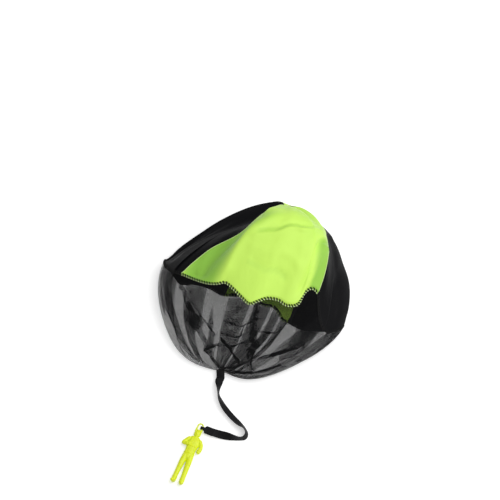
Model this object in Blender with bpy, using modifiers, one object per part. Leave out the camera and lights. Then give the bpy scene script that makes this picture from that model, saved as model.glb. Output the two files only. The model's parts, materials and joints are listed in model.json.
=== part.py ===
"""Toy parachute lying half inflated on a table: four cloth gores, a net skirt gathered to a
ribbon, and a moulded figure on the ribbon's loop.

Units are metres, +Z is up and the table is z = 0. The canopy lies on its side: its axis runs
level from the gather, through the middle of the mouth, to the apex.
"""

import math

import bmesh
import bpy
import numpy as np
from mathutils import Matrix, Vector

MM = 0.001
DEG = math.pi / 180

# Cloth and fits
CLOTH_WALL = 0.8 * MM
FIT_GAP = 0.35 * MM
GORE_GAP = 0.9 * MM
LIE_CLEARANCE = 0.5 * MM
MERGE_REACH = 0.01 * MM

# Canopy, lying on its side
AXIS_TURN = 21.7 * DEG
GORE_COUNT = 4
FIRST_SEAM_TURN = 46 * DEG
MOUTH_HALF_WIDTH = 150 * MM
APEX_SIDE = -8 * MM
APEX_REACH = 160 * MM
APEX_HEIGHT = 55 * MM
APEX_HOLE = 2 * MM
APEX_RING = 4 * MM
APEX_RING_FADE_SHARE = 8
GORE_COLUMNS = 18
GORE_ROWS = 14
MOST_DRAW_SHARE = 0.7
MOST_SEAM_SHARE = 0.8
RIM_LIFT_SHARE = 0.8

# The rim, round from its right end over the top: turn in degrees, then as shares of the mouth's
# half width its place across, along and up, how square its meridian is (2 is an ellipse, 1 is
# straight), and how far the meridian swells upward and behind the apex
RIM_SHARES = (
    (3, 1.007, 0.120, 0.127, 1.75, 0.000, 0.093),
    (10, 0.993, 0.067, 0.173, 1.75, 0.013, 0.093),
    (17, 0.953, 0.000, 0.227, 1.75, 0.033, 0.100),
    (24, 0.893, -0.060, 0.273, 1.8, 0.053, 0.107),
    (31, 0.820, -0.047, 0.327, 1.9, 0.073, 0.107),
    (37, 0.760, 0.033, 0.380, 2.05, 0.093, 0.080),
    (41, 0.713, 0.127, 0.427, 2.3, 0.107, 0.020),
    (46, 0.660, 0.233, 0.480, 2.6, 0.127, -0.040),
    (51, 0.587, 0.247, 0.533, 2.6, 0.147, -0.047),
    (55, 0.540, 0.173, 0.553, 2.6, 0.173, -0.033),
    (60, 0.520, 0.020, 0.560, 2.5, 0.200, -0.013),
    (66, 0.413, -0.040, 0.567, 2.4, 0.220, 0.000),
    (72, 0.307, -0.020, 0.573, 2.35, 0.227, 0.000),
    (78, 0.193, -0.047, 0.580, 2.3, 0.233, 0.000),
    (83, 0.113, -0.113, 0.580, 2.2, 0.233, 0.000),
    (88, 0.040, -0.173, 0.573, 2.2, 0.233, 0.000),
    (94, -0.073, -0.133, 0.580, 2.1, 0.227, 0.000),
    (100, -0.173, -0.087, 0.587, 2, 0.220, 0.000),
    (106, -0.287, -0.047, 0.580, 1.9, 0.207, 0.000),
    (112, -0.373, -0.087, 0.560, 1.7, 0.180, 0.000),
    (119, -0.480, -0.107, 0.527, 1.55, 0.133, 0.000),
    (127, -0.613, -0.100, 0.480, 1.35, 0.080, 0.000),
    (136, -0.787, -0.073, 0.413, 1.22, 0.053, 0.013),
    (146, -0.900, -0.053, 0.333, 1.22, 0.033, 0.033),
    (158, -0.980, -0.007, 0.267, 1.24, 0.020, 0.060),
    (170, -1.027, 0.047, 0.207, 1.26, 0.007, 0.080),
    (181, -1.033, 0.093, 0.147, 1.3, 0.000, 0.093),
    (190, -0.947, 0.040, 0.093, 1.35, 0.000, 0.107),
    (199, -0.800, -0.053, 0.053, 1.45, 0.000, 0.120),
    (207, -0.673, 0.007, 0.033, 1.5, 0.000, 0.127),
    (216, -0.507, 0.027, 0.013, 1.6, 0.000, 0.133),
    (226, -0.333, 0.007, -0.007, 1.6, 0.000, 0.133),
    (236, -0.187, 0.060, -0.033, 1.7, 0.000, 0.133),
    (246, -0.027, 0.080, -0.053, 1.8, 0.000, 0.133),
    (258, 0.107, 0.060, -0.067, 1.8, 0.000, 0.133),
    (270, 0.213, 0.080, -0.067, 1.8, 0.000, 0.133),
    (286, 0.307, 0.027, -0.053, 1.8, 0.000, 0.127),
    (300, 0.360, -0.020, -0.033, 1.8, 0.000, 0.120),
    (316, 0.440, -0.027, -0.013, 1.8, 0.000, 0.113),
    (328, 0.613, -0.040, 0.013, 1.75, 0.000, 0.107),
    (340, 0.800, 0.013, 0.033, 1.75, 0.000, 0.100),
    (348, 0.920, 0.060, 0.060, 1.75, 0.000, 0.093),
    (356, 0.987, 0.100, 0.093, 1.75, 0.000, 0.093),
)
SWELL_BACK_SHARE = 1.72

# Overlocked seams
SEAM_WIDTH = 5 * MM
SEAM_WALL = 1.0 * MM
OVERLOCK_RADIUS = 1.1 * MM
THREAD_BEVEL_COUNT = 1

# Net skirt, gather and binding
GATHER_REACH = 121 * MM
GATHER_SIDE = -6 * MM
GATHER_HEIGHT = 6.8 * MM
NECK_RADIUS = 4 * MM
NECK_LENGTH = 8.5 * MM
NECK_HOLE = 0.5 * MM
NET_ROWS = 8
NET_FALL_SHARE = 1.35
NET_TOP_SQUARE_SHARE = 1.45
NET_LEFT_SQUARE_SHARE = 2.05
NET_RIGHT_SQUARE_SHARE = 1.6
NET_LOBE = 12 * MM
NET_RIM_SHARE = 0.25
NECK_BLEND_SHARE = 9
NET_SEAM_WIDTH = 6 * MM
NET_SEAM_COLUMN_COUNT = 8
NET_SEAM_SHORT_ROWS = 4
BINDING_WIRE_RADIUS = 0.55 * MM
BINDING_TURNS = 3
BINDING_PITCH = 1.6 * MM
BINDING_TURN_POINTS = 20

# Ribbon
RIBBON_WIDTH = 13 * MM
RIBBON_WALL = 0.7 * MM
RIBBON_ROOT_WIDTH = 8 * MM
RIBBON_LOOP_WIDTH = 5 * MM
RIBBON_LOOP_TAIL = 12 * MM
RIBBON_TAPER_LENGTH = 8 * MM
RIBBON_STEP = 2.6 * MM
RIBBON_ACROSS = 4
LOOP_SHUT_SHARE = 2.4
LOOP_BEND_POINTS = 5
LINE_STEPS = 40

# The ribbon's route on the table from its root, as x, y and height in mm, and its tilt from flat
RIBBON_ROUTE = (
    (0.0, 0.0, 6.8, 0),
    (-2.2, -5.6, 6.8, 12),
    (-3.4, -15.2, 7.2, 60),
    (-3.3, -25.5, 7.4, 72),
    (-0.1, -37.0, 7.0, 65),
    (7.1, -50.6, 5.9, 48),
    (17.5, -64.1, 5.7, 45),
    (28.7, -75.9, 6.0, 50),
    (38.0, -84.9, 7.0, 72),
    (41.7, -93.4, 7.5, 76),
    (39.1, -100.4, 7.4, 76),
    (31.9, -102.9, 6.9, 62),
    (21.5, -101.3, 5.0, 36),
    (10.3, -97.9, 3.6, 18),
    (-1.7, -94.6, 4.0, 7),
)
LOOP_FROM_ROOT = (-28.5 * MM, -85.0 * MM)

# Figure, lying on its back: along runs from the ring's crown to the feet, across to its side
FIGURE_TURN = 247.9 * DEG
FIGURE_HEIGHT = 5.0 * MM
BODY_LENGTH = 97 * MM
RING_WIRE_RADIUS = 1.2 * MM
RING_HOLE_WIDTH = 6 * MM
RING_ACROSS = 0.5 * MM
RING_HEIGHT = 12.5 * MM
RING_ROOT_DEPTH = 6.5 * MM
LOOP_ALONG = 7.45 * MM
RING_BEND_POINTS = 14
RING_BEVEL_COUNT = 3
LIMB_SIDES = 12
LIMB_STEPS = 3
CAP_TURNS = (35 * DEG, 65 * DEG)
TINY_SHARE = 1e-6
SWING_TURN = 25 * DEG

# Stations of each limb as shares of the body's length: along, across, height above the
# middle, half width and half depth
HEAD_SHARES = (
    (0.028, 0, 0, 0.036, 0.034),
    (0.055, 0, 0, 0.057, 0.048),
    (0.098, 0, 0, 0.052, 0.046),
    (0.122, 0, 0, 0.038, 0.038),
)
NECK_SHARES = ((0.10, 0, 0, 0.030, 0.030), (0.16, 0, 0, 0.044, 0.036))
TORSO_SHARES = (
    (0.155, 0, 0, 0.072, 0.034),
    (0.195, 0, 0, 0.098, 0.046),
    (0.265, 0, 0, 0.097, 0.050),
    (0.340, 0, 0, 0.085, 0.046),
    (0.395, 0, 0, 0.079, 0.042),
    (0.450, 0, 0, 0.088, 0.046),
    (0.505, 0, 0, 0.084, 0.043),
)
LEFT_ARM_SHARES = (
    (0.185, -0.093, 0.000, 0.036, 0.036),
    (0.238, -0.132, 0.002, 0.034, 0.033),
    (0.288, -0.158, 0.008, 0.031, 0.030),
    (0.294, -0.112, 0.028, 0.031, 0.027),
    (0.278, -0.056, 0.042, 0.033, 0.024),
)
RIGHT_ARM_SHARES = (
    (0.185, 0.093, 0.000, 0.036, 0.036),
    (0.235, 0.134, 0.002, 0.034, 0.033),
    (0.295, 0.160, 0.004, 0.031, 0.030),
    (0.352, 0.150, 0.004, 0.032, 0.030),
)
LEG_SHARES = (
    (0.480, 0.046, 0.000, 0.050, 0.046),
    (0.600, 0.054, 0.000, 0.049, 0.045),
    (0.740, 0.062, 0.000, 0.043, 0.042),
    (0.860, 0.067, 0.000, 0.040, 0.040),
    (0.950, 0.069, 0.000, 0.038, 0.038),
)
BOOT_SHARES = (
    (0.958, 0.068, -0.004, 0.036, 0.034),
    (0.966, 0.074, 0.030, 0.034, 0.032),
    (0.972, 0.080, 0.060, 0.030, 0.028),
)

GREEN = (0.60, 0.90, 0.16, 1)
BLACK = (0.012, 0.012, 0.014, 1)
NET_BLACK = (0.03, 0.03, 0.03, 1)
YELLOW = (0.80, 0.92, 0.02, 1)


def clear_scene():
    for obj in list(bpy.data.objects):
        bpy.data.objects.remove(obj)


def collection(name, helpers=False):
    made = bpy.data.collections.new(name)
    made.hide_render = helpers
    bpy.context.scene.collection.children.link(made)
    return made


def material(name, colour, roughness):
    made = bpy.data.materials.new(name)
    made.use_nodes = True
    shader = made.node_tree.nodes["Principled BSDF"]
    shader.inputs["Base Color"].default_value = colour
    shader.inputs["Roughness"].default_value = roughness
    shader.inputs["Metallic"].default_value = 0
    return made


def place(obj, group, look, parent=None, origin=None):
    """Puts the object in its collection, with its origin at the given point of the toy."""
    group.objects.link(obj)
    obj.data.materials.append(look)
    if origin is not None:
        shift = Vector(origin)
        obj.data.transform(Matrix.Translation(-shift))
        obj.location = shift
    obj.parent = parent
    return obj


def smooth_step(value):
    value = np.clip(value, 0, 1)
    return value * value * (3 - 2 * value)


def lerp(low, high, share):
    return low + (high - low) * share


def to_world(across, along, up):
    """Points of the lying canopy: across to the right of its axis, along it to the apex, up."""
    cos, sin = math.cos(AXIS_TURN), math.sin(AXIS_TURN)
    return np.stack(
        np.broadcast_arrays(across * cos + along * sin, along * cos - across * sin, up),
        axis=-1,
    )


def sheet_object(name, points, wall, closed=False):
    """A grid of points, rows by columns, as an open surface that Solidify makes a cloth."""
    rows, columns = points.shape[:2]
    row, column = np.meshgrid(
        np.arange(rows - 1), np.arange(columns if closed else columns - 1), indexing="ij"
    )
    after = (column + 1) % columns
    faces = np.stack(
        [
            row * columns + column,
            row * columns + after,
            (row + 1) * columns + after,
            (row + 1) * columns + column,
        ],
        axis=-1,
    ).reshape(-1, 4)
    mesh = bpy.data.meshes.new(name)
    mesh.from_pydata(points.reshape(-1, 3).tolist(), [], faces.tolist())
    mesh.shade_smooth()
    obj = bpy.data.objects.new(name, mesh)
    skin = obj.modifiers.new("cloth", "SOLIDIFY")
    skin.thickness = wall
    skin.offset = 0
    skin.use_even_offset = False
    return obj


def tube_object(name, points, radius, bevel_count, cyclic):
    """A wire through the points as a bevelled poly curve."""
    curve = bpy.data.curves.new(name, "CURVE")
    curve.dimensions = "3D"
    curve.bevel_depth = radius
    curve.bevel_resolution = bevel_count
    curve.use_fill_caps = not cyclic
    spline = curve.splines.new("POLY")
    spline.points.add(len(points) - 1)
    spline.points.foreach_set("co", np.c_[points, np.ones(len(points))].ravel())
    spline.use_cyclic_u = cyclic
    spline.use_smooth = True
    return bpy.data.objects.new(name, curve)


def as_mesh(obj, group):
    """The curve as a welded mesh object, which a Boolean can use."""
    group.objects.link(obj)
    graph = bpy.context.evaluated_depsgraph_get()
    mesh = bpy.data.meshes.new_from_object(obj.evaluated_get(graph))
    shell = bmesh.new()
    shell.from_mesh(mesh)
    bmesh.ops.remove_doubles(shell, verts=shell.verts, dist=MERGE_REACH)
    bmesh.ops.recalc_face_normals(shell, faces=shell.faces)
    shell.to_mesh(mesh)
    shell.free()
    made = bpy.data.objects.new(obj.name, mesh)
    made.matrix_world = obj.matrix_world
    bpy.data.objects.remove(obj)
    return made


# Canopy


def floor_height(share):
    """The lowest the middle of the cloth lies: on the table, and a little up at the thick rim."""
    rise = OVERLOCK_RADIUS - CLOTH_WALL / 2
    return CLOTH_WALL / 2 + rise * smooth_step((share - RIM_LIFT_SHARE) / (1 - RIM_LIFT_SHARE))


def round_table(table, turn):
    """The columns of a table at these turns: cubics through its rows, closed round a turn, and
    level at each row with the line between its neighbours."""
    table = np.array(table, float)
    full = 2 * math.pi
    knots = table[:, 0] * DEG
    knots = np.r_[knots[-2:] - full, knots, knots[:3] + full]
    values = np.concatenate([table[-2:, 1:], table[:, 1:], table[:3, 1:]])
    slopes = (values[2:] - values[:-2]) / (knots[2:] - knots[:-2])[:, None]
    turn = np.mod(turn, full)
    index = np.searchsorted(knots, turn, side="right") - 1
    width = (knots[index + 1] - knots[index])[..., None]
    t = (turn - knots[index])[..., None] / width
    start, end = values[index], values[index + 1]
    leave, arrive = slopes[index - 1] * width, slopes[index] * width
    curve = (
        start
        + t * leave
        + t**2 * (3 * (end - start) - 2 * leave - arrive)
        + t**3 * (2 * (start - end) + leave + arrive)
    )
    return np.moveaxis(curve, -1, 0)


def canopy_point(share, turn):
    """The canopy's middle surface. Each meridian is a superellipse from the apex to the rim,
    with a swell upward and one behind the apex, opens into a small ring at the apex, and is
    kept above the table."""
    share, turn = np.broadcast_arrays(share, turn)
    rim_across, rim_along, rim_up, square, rise, back = round_table(RIM_SHARES, turn)
    power = 2 / square
    bend = share * math.pi / 2
    spread = np.sin(bend) ** power
    reach = 1 - np.cos(bend) ** power
    swell = np.sin(math.pi * share)
    across = lerp(APEX_SIDE, rim_across * MOUTH_HALF_WIDTH, spread)
    along = lerp(APEX_REACH, rim_along * MOUTH_HALF_WIDTH, reach)
    height = lerp(APEX_HEIGHT, rim_up * MOUTH_HALF_WIDTH, spread)
    height = height + rise * MOUTH_HALF_WIDTH * swell
    ring = APEX_RING * (1 - share) ** APEX_RING_FADE_SHARE
    across = across + ring * np.cos(turn)
    height = height + ring * np.sin(turn)
    along = along + back * MOUTH_HALF_WIDTH * SWELL_BACK_SHARE * swell * (1 - share)
    return to_world(across, along, np.maximum(height, floor_height(share)))


def unit(vectors):
    return vectors / np.linalg.norm(vectors, axis=-1, keepdims=True)


def row_shares(turns):
    """Rows from the apex hole to the rim, evenly spaced in share of each turn's meridian."""
    square = round_table(RIM_SHARES, turns)[3]
    start = np.arcsin((APEX_HOLE / MOUTH_HALF_WIDTH) ** (square / 2)) / (math.pi / 2)
    return lerp(start[None, :], 1.0, np.linspace(0, 1, GORE_ROWS + 1)[:, None])


def gore_grid(number):
    """A gore's points, rows by columns, its outer columns drawn in by half a fit gap."""
    first = FIRST_SEAM_TURN + number * 2 * math.pi / GORE_COUNT
    turns = first + np.linspace(0, 1, GORE_COLUMNS + 1) * 2 * math.pi / GORE_COUNT
    points = canopy_point(row_shares(turns), turns[None, :])
    for edge, inner in ((0, 1), (-1, -2)):
        way = points[:, inner] - points[:, edge]
        reach = np.linalg.norm(way, axis=-1, keepdims=True)
        points[:, edge] += way * np.minimum(GORE_GAP / 2 / reach, MOST_DRAW_SHARE)
    return points


def seam_grid(left, right, width, wall):
    """A strip that lies FIT_GAP inside the joint of two sheets, on their own facets."""
    middle = (left[:, 0] + right[:, 0]) / 2
    sides = []
    for edge, inner in ((left[:, 0], left[:, 1]), (right[:, 0], right[:, 1])):
        way = inner - edge
        reach = np.linalg.norm(way, axis=-1, keepdims=True)
        sides.append(edge + way * np.minimum(width / 2 / reach, MOST_SEAM_SHARE))
    strip = np.stack([sides[0], middle, sides[1]], axis=1)
    along = np.gradient(strip, axis=0)
    over = np.gradient(strip, axis=1)
    inward = unit(np.cross(over, along))
    centre = strip.mean(axis=(0, 1))
    hollow = to_world(0, APEX_REACH / 3, APEX_HEIGHT)
    if np.sum(inward.mean(axis=(0, 1)) * (hollow - centre)) < 0:
        inward = -inward
    lift = (CLOTH_WALL + wall) / 2 + LIE_CLEARANCE
    return strip + inward * lift


def rim_turns():
    step = 2 * math.pi / GORE_COUNT / GORE_COLUMNS
    return FIRST_SEAM_TURN + np.arange(GORE_COUNT * GORE_COLUMNS) * step


def rim_line(distance):
    """The closed line at this distance past the canopy's edge, in the cloth's own plane."""
    turns = rim_turns()
    edge = canopy_point(1.0, turns)
    way = unit(np.roll(edge, -1, axis=0) - np.roll(edge, 1, axis=0))
    onward = edge - canopy_point(row_shares(turns)[-2], turns)
    onward = unit(onward - np.sum(onward * way, axis=-1, keepdims=True) * way)
    line = edge + onward * distance
    line[:, 2] = np.maximum(line[:, 2], OVERLOCK_RADIUS)
    return line


# Net


def gather_point():
    return to_world(GATHER_SIDE, -GATHER_REACH, GATHER_HEIGHT)


def neck_way():
    """The way out of the gather, towards the ribbon's root."""
    return np.array((0.0, -1.0, 0.0))


def net_grid():
    """Rows of the net from the rim to the neck: each thread runs on a quarter of a
    superellipse, bulges a little past the gather, and the last rows are the neck and the end
    of its bundle."""
    start = rim_line(2 * OVERLOCK_RADIUS + 2 * FIT_GAP)
    gather = gather_point()
    turns = rim_turns()
    circle = NECK_RADIUS * np.stack([np.cos(turns), 0 * turns, np.sin(turns)], axis=-1)
    lean = smooth_step(0.5 + 0.5 * np.cos(turns))
    square = lerp(NET_LEFT_SQUARE_SHARE, NET_RIGHT_SQUARE_SHARE, lean)
    square = lerp(square, NET_TOP_SQUARE_SHARE, np.maximum(np.sin(turns), 0) ** 2)
    axis = to_world(0, 1, 0)
    along = (start - gather) @ axis
    side = start - gather - along[:, None] * axis
    rows = []
    for share in np.linspace(0, 1, NET_ROWS):
        bend = share * math.pi / 2
        spread = max(math.cos(bend), 0.0) ** (2 / square)
        reach = math.sin(bend) ** (2 / square)
        lobe = NET_LOBE * np.abs(np.cos(turns)) * math.sin(math.pi * share**2) ** 2
        fallen = side * spread[:, None]
        fallen[:, 2] *= spread ** (NET_FALL_SHARE - 1)
        point = gather + fallen + (along * (1 - reach) - lobe)[:, None] * axis
        point = point + circle * math.sin(bend) ** NECK_BLEND_SHARE
        near_rim = 1 - smooth_step(share / NET_RIM_SHARE)
        lowest = CLOTH_WALL / 2 + (OVERLOCK_RADIUS - CLOTH_WALL / 2) * near_rim
        point[:, 2] = np.maximum(point[:, 2], lowest)
        rows.append(point)
    neck_end = gather + neck_way() * NECK_LENGTH
    rows.append(neck_end + circle)
    rows.append(neck_end + circle * NECK_HOLE / NECK_RADIUS)
    return np.stack(rows)


def binding_line():
    """The thread wound round the neck: a helix, a gap wider than its wire from turn to turn."""
    count = BINDING_TURNS * BINDING_TURN_POINTS + 1
    turns = np.linspace(0, BINDING_TURNS * 2 * math.pi, count)
    radius = NECK_RADIUS + CLOTH_WALL / 2 + FIT_GAP + BINDING_WIRE_RADIUS
    start = NECK_LENGTH - BINDING_TURNS * BINDING_PITCH - BINDING_WIRE_RADIUS
    onward = start + turns / (2 * math.pi) * BINDING_PITCH
    round_neck = radius * np.stack([np.cos(turns), 0 * turns, np.sin(turns)], axis=-1)
    return gather_point() + round_neck + onward[:, None] * neck_way()


# Ribbon


def ribbon_root():
    """The hinge at the root: the round end of the ribbon turns about it, clear of the neck."""
    reach = NECK_LENGTH + CLOTH_WALL / 2 + FIT_GAP + RIBBON_ROOT_WIDTH / 2
    return gather_point() + neck_way() * reach


def figure_axes():
    along = np.array((math.cos(FIGURE_TURN), math.sin(FIGURE_TURN), 0.0))
    across = np.array((-math.sin(FIGURE_TURN), math.cos(FIGURE_TURN), 0.0))
    return along, across


def loop_centre():
    """The middle of the ring's leg inside the ribbon's loop, which is the figure's hinge."""
    root = ribbon_root()
    return root * (1, 1, 0) + np.array((*LOOP_FROM_ROOT, FIGURE_HEIGHT))


def smooth_line(points, step):
    """A Catmull-Rom curve through the points (any number of columns), at about even steps."""
    padded = np.concatenate(
        [2 * points[:1] - points[1:2], points, 2 * points[-1:] - points[-2:-1]]
    )
    fine = []
    for before, start, end, after in zip(padded, padded[1:], padded[2:], padded[3:]):
        t = np.linspace(0, 1, LINE_STEPS, endpoint=False)[:, None]
        fine.append(
            start
            + t / 2 * (end - before)
            + t**2 / 2 * (2 * before - 5 * start + 4 * end - after)
            + t**3 / 2 * (3 * start - before - 3 * end + after)
        )
    fine = np.concatenate([*fine, points[-1:]])
    lengths = np.r_[0, np.cumsum(np.linalg.norm(np.diff(fine[:, :3], axis=0), axis=1))]
    count = max(2, round(lengths[-1] / step)) + 1
    places = np.linspace(0, lengths[-1], count)
    return np.stack([np.interp(places, lengths, column) for column in fine.T], axis=-1)


def loop_half_length():
    """Half the loop's inner length, so that the ring's leg can turn in it by SWING_TURN."""
    lean = RIBBON_LOOP_WIDTH / 2 * math.tan(SWING_TURN)
    return lean + RING_WIRE_RADIUS / math.cos(SWING_TURN) + 2 * FIT_GAP


def ribbon_line():
    """The ribbon's middle line, its side vectors, and how far each point is along the ribbon
    from the far end of the loop. The last stretch goes round the ring's leg and back under."""
    route = np.array(RIBBON_ROUTE, float)
    route[:, :3] *= MM
    route[:, :2] += ribbon_root()[:2]
    centre = loop_centre()
    along, across = figure_axes()
    upward = np.array((0.0, 0.0, 1.0))
    layer = RING_WIRE_RADIUS + FIT_GAP + RIBBON_WALL / 2
    closed = (RIBBON_WALL + LIE_CLEARANCE) / 2
    inner = max(loop_half_length() + RIBBON_WALL / 2 - layer, 0)
    shut = inner + layer * LOOP_SHUT_SHARE
    tail_end = shut + RIBBON_LOOP_TAIL
    upper = [
        centre + across * tail_end + upward * closed,
        centre + across * shut + upward * closed,
        centre + across * inner + upward * layer,
        centre - across * inner + upward * layer,
    ]
    bends = [
        centre - across * (inner + layer * math.sin(turn)) + upward * layer * math.cos(turn)
        for turn in np.linspace(0, math.pi, LOOP_BEND_POINTS + 2)[1:-1]
    ]
    lower = [point + upward * 2 * (centre[2] - point[2]) for point in upper[::-1]]
    main = smooth_line(np.concatenate([route, [[*upper[0], 0]]]), RIBBON_STEP)
    heading = unit(np.gradient(main[:, :3], axis=0))
    flat_side = unit(np.stack([heading[:, 1], -heading[:, 0], 0 * heading[:, 0]], axis=-1))
    tilt = main[:, 3:] * DEG
    side = np.cos(tilt) * flat_side + np.sin(tilt) * upward
    loop = smooth_line(np.array([*upper, *bends, *lower]), RIBBON_STEP / 2)[1:]
    line = np.concatenate([main[:, :3], loop])
    sides = unit(np.concatenate([side, np.broadcast_to(-along, loop.shape)]))
    lengths = np.r_[0, np.cumsum(np.linalg.norm(np.diff(line, axis=0), axis=1))]
    far_end = lengths[np.argmin(line[len(main) :] @ across) + len(main)]
    return line, sides, lengths, np.abs(lengths - far_end)


def ribbon_grid():
    """Rows across the ribbon: its root is narrow and rounded about the hinge, and it is drawn
    in again where it goes round the ring's leg."""
    line, side, lengths, from_loop = ribbon_line()
    width = lerp(RIBBON_ROOT_WIDTH, RIBBON_WIDTH, smooth_step(lengths / RIBBON_TAPER_LENGTH))
    clear = loop_half_length() * 2 + RIBBON_WALL
    spread_share = smooth_step((from_loop - clear) / RIBBON_TAPER_LENGTH)
    width = np.minimum(width, lerp(RIBBON_LOOP_WIDTH, RIBBON_WIDTH, spread_share))
    places = np.linspace(-1, 1, RIBBON_ACROSS + 1)
    grid = line[:, None] + side[:, None] * (width / 2)[:, None, None] * places[None, :, None]
    inset = RIBBON_ROOT_WIDTH / 2 * np.sqrt(np.maximum(1 - places**2, 0))
    heading = unit(line[1] - line[0])
    rounding = grid[0] - heading * inset[:, None]
    rounding[[0, -1]] = (grid[0][[0, -1]] + rounding[[1, -2]]) / 2
    return np.concatenate([rounding[None], grid])


# Figure


def figure_point(along_by, across_by, height_by):
    """A point of the figure, measured from the ring's crown, its middle line and its middle."""
    along, across = figure_axes()
    leg_across = RING_ACROSS + RING_HOLE_WIDTH / 2 + RING_WIRE_RADIUS
    return (
        loop_centre()
        + along * (along_by - LOOP_ALONG)
        + across * (across_by - leg_across)
        + np.array((0.0, 0.0, height_by))
    )


def limb(name, stations, group, mirror=1):
    """A closed limb: ellipses carried along a smooth line through the stations, which are
    shares of the body's length, with rounded ends."""
    count = (len(stations) - 1) * LIMB_STEPS
    shares = np.array(stations, float)
    shares[:, 1] *= mirror
    reach = np.linalg.norm(np.diff(shares[:, :3], axis=0), axis=1).sum()
    rings = smooth_line(shares, reach / count)
    heading = unit(np.gradient(rings[:, :3], axis=0))
    caps = []
    for ring, way in ((rings[0], -heading[0]), (rings[-1], heading[-1])):
        for turn in CAP_TURNS:
            cap = ring.copy()
            cap[:3] += way * ring[4] * math.sin(turn)
            cap[3:] *= math.cos(turn)
            caps.append(cap)
    rings = np.array([caps[1], caps[0], *rings, caps[2], caps[3]])
    heading = np.concatenate([heading[[0, 0]], heading, heading[[-1, -1]]])
    flat = np.stack([-heading[:, 1], heading[:, 0], 0 * heading[:, 0]], axis=-1)
    side = unit(flat + [0, TINY_SHARE, 0])
    above = np.cross(heading, side)
    turns = np.arange(LIMB_SIDES) * 2 * math.pi / LIMB_SIDES
    shell = (
        rings[:, None, :3]
        + side[:, None] * (rings[:, 3:4] * np.cos(turns))[:, :, None]
        + above[:, None] * (rings[:, 4:5] * np.sin(turns))[:, :, None]
    )
    body = bmesh.new()
    loops = []
    for ring in shell:
        places = ring * BODY_LENGTH + (RING_HEIGHT, RING_ACROSS, 0)
        loops.append([body.verts.new(figure_point(*place)) for place in places])
    for near, far in zip(loops, loops[1:]):
        for index in range(LIMB_SIDES):
            after = (index + 1) % LIMB_SIDES
            body.faces.new((near[index], near[after], far[after], far[index]))
    body.faces.new(loops[0][::-1])
    body.faces.new(loops[-1])
    bmesh.ops.recalc_face_normals(body, faces=body.faces)
    mesh = bpy.data.meshes.new(name)
    body.to_mesh(mesh)
    body.free()
    made = bpy.data.objects.new(name, mesh)
    group.objects.link(made)
    return made


def ring_wire(group):
    """The moulded ring: a wire from the head round a half circle and back into the head."""
    bend_radius = RING_HOLE_WIDTH / 2 + RING_WIRE_RADIUS
    crown = bend_radius + RING_WIRE_RADIUS
    foot = RING_HEIGHT + RING_ROOT_DEPTH
    points = [figure_point(foot, RING_ACROSS - bend_radius, 0)]
    for turn in np.linspace(0, math.pi, RING_BEND_POINTS):
        by = crown - bend_radius * math.sin(turn)
        points.append(figure_point(by, RING_ACROSS - bend_radius * math.cos(turn), 0))
    points.append(figure_point(foot, RING_ACROSS + bend_radius, 0))
    wire = tube_object("ring_wire", np.array(points), RING_WIRE_RADIUS, RING_BEVEL_COUNT, False)
    return as_mesh(wire, group)


def figure_object(group, helpers, rig):
    """The whole moulding: the torso with the other limbs and the ring joined to it."""
    torso = limb("figure", TORSO_SHARES, group)
    joined = [
        limb("neck", NECK_SHARES, helpers),
        limb("head", HEAD_SHARES, helpers),
        limb("left_arm", LEFT_ARM_SHARES, helpers),
        limb("right_arm", RIGHT_ARM_SHARES, helpers),
    ]
    for name, mirror in (("left", -1), ("right", 1)):
        joined.append(limb(f"{name}_leg", LEG_SHARES, helpers, mirror))
        joined.append(limb(f"{name}_boot", BOOT_SHARES, helpers, mirror))
    wire = ring_wire(helpers)
    helpers.objects.link(wire)
    joined.append(wire)
    for helper in joined:
        helper.hide_render = True
        helper.display_type = "WIRE"
        helper.parent = rig
        join = torso.modifiers.new(helper.name, "BOOLEAN")
        join.operation = "UNION"
        join.object = helper
    group.objects.unlink(torso)
    return torso


def stand_on_origin(rig, group, loose):
    """Moves the rig so that the toy, without its ribbon, stands on the origin by the middle of
    its box."""
    bpy.context.view_layer.update()
    graph = bpy.context.evaluated_depsgraph_get()
    corners = []
    for obj in group.objects:
        if obj.type in ("MESH", "CURVE") and obj.name not in loose:
            shape = obj.evaluated_get(graph).to_mesh()
            corners += [obj.matrix_world @ vertex.co for vertex in shape.vertices]
    corners = np.array(corners)
    low, high = corners.min(axis=0), corners.max(axis=0)
    rig.location = (-(low[0] + high[0]) / 2, -(low[1] + high[1]) / 2, -low[2])


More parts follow.
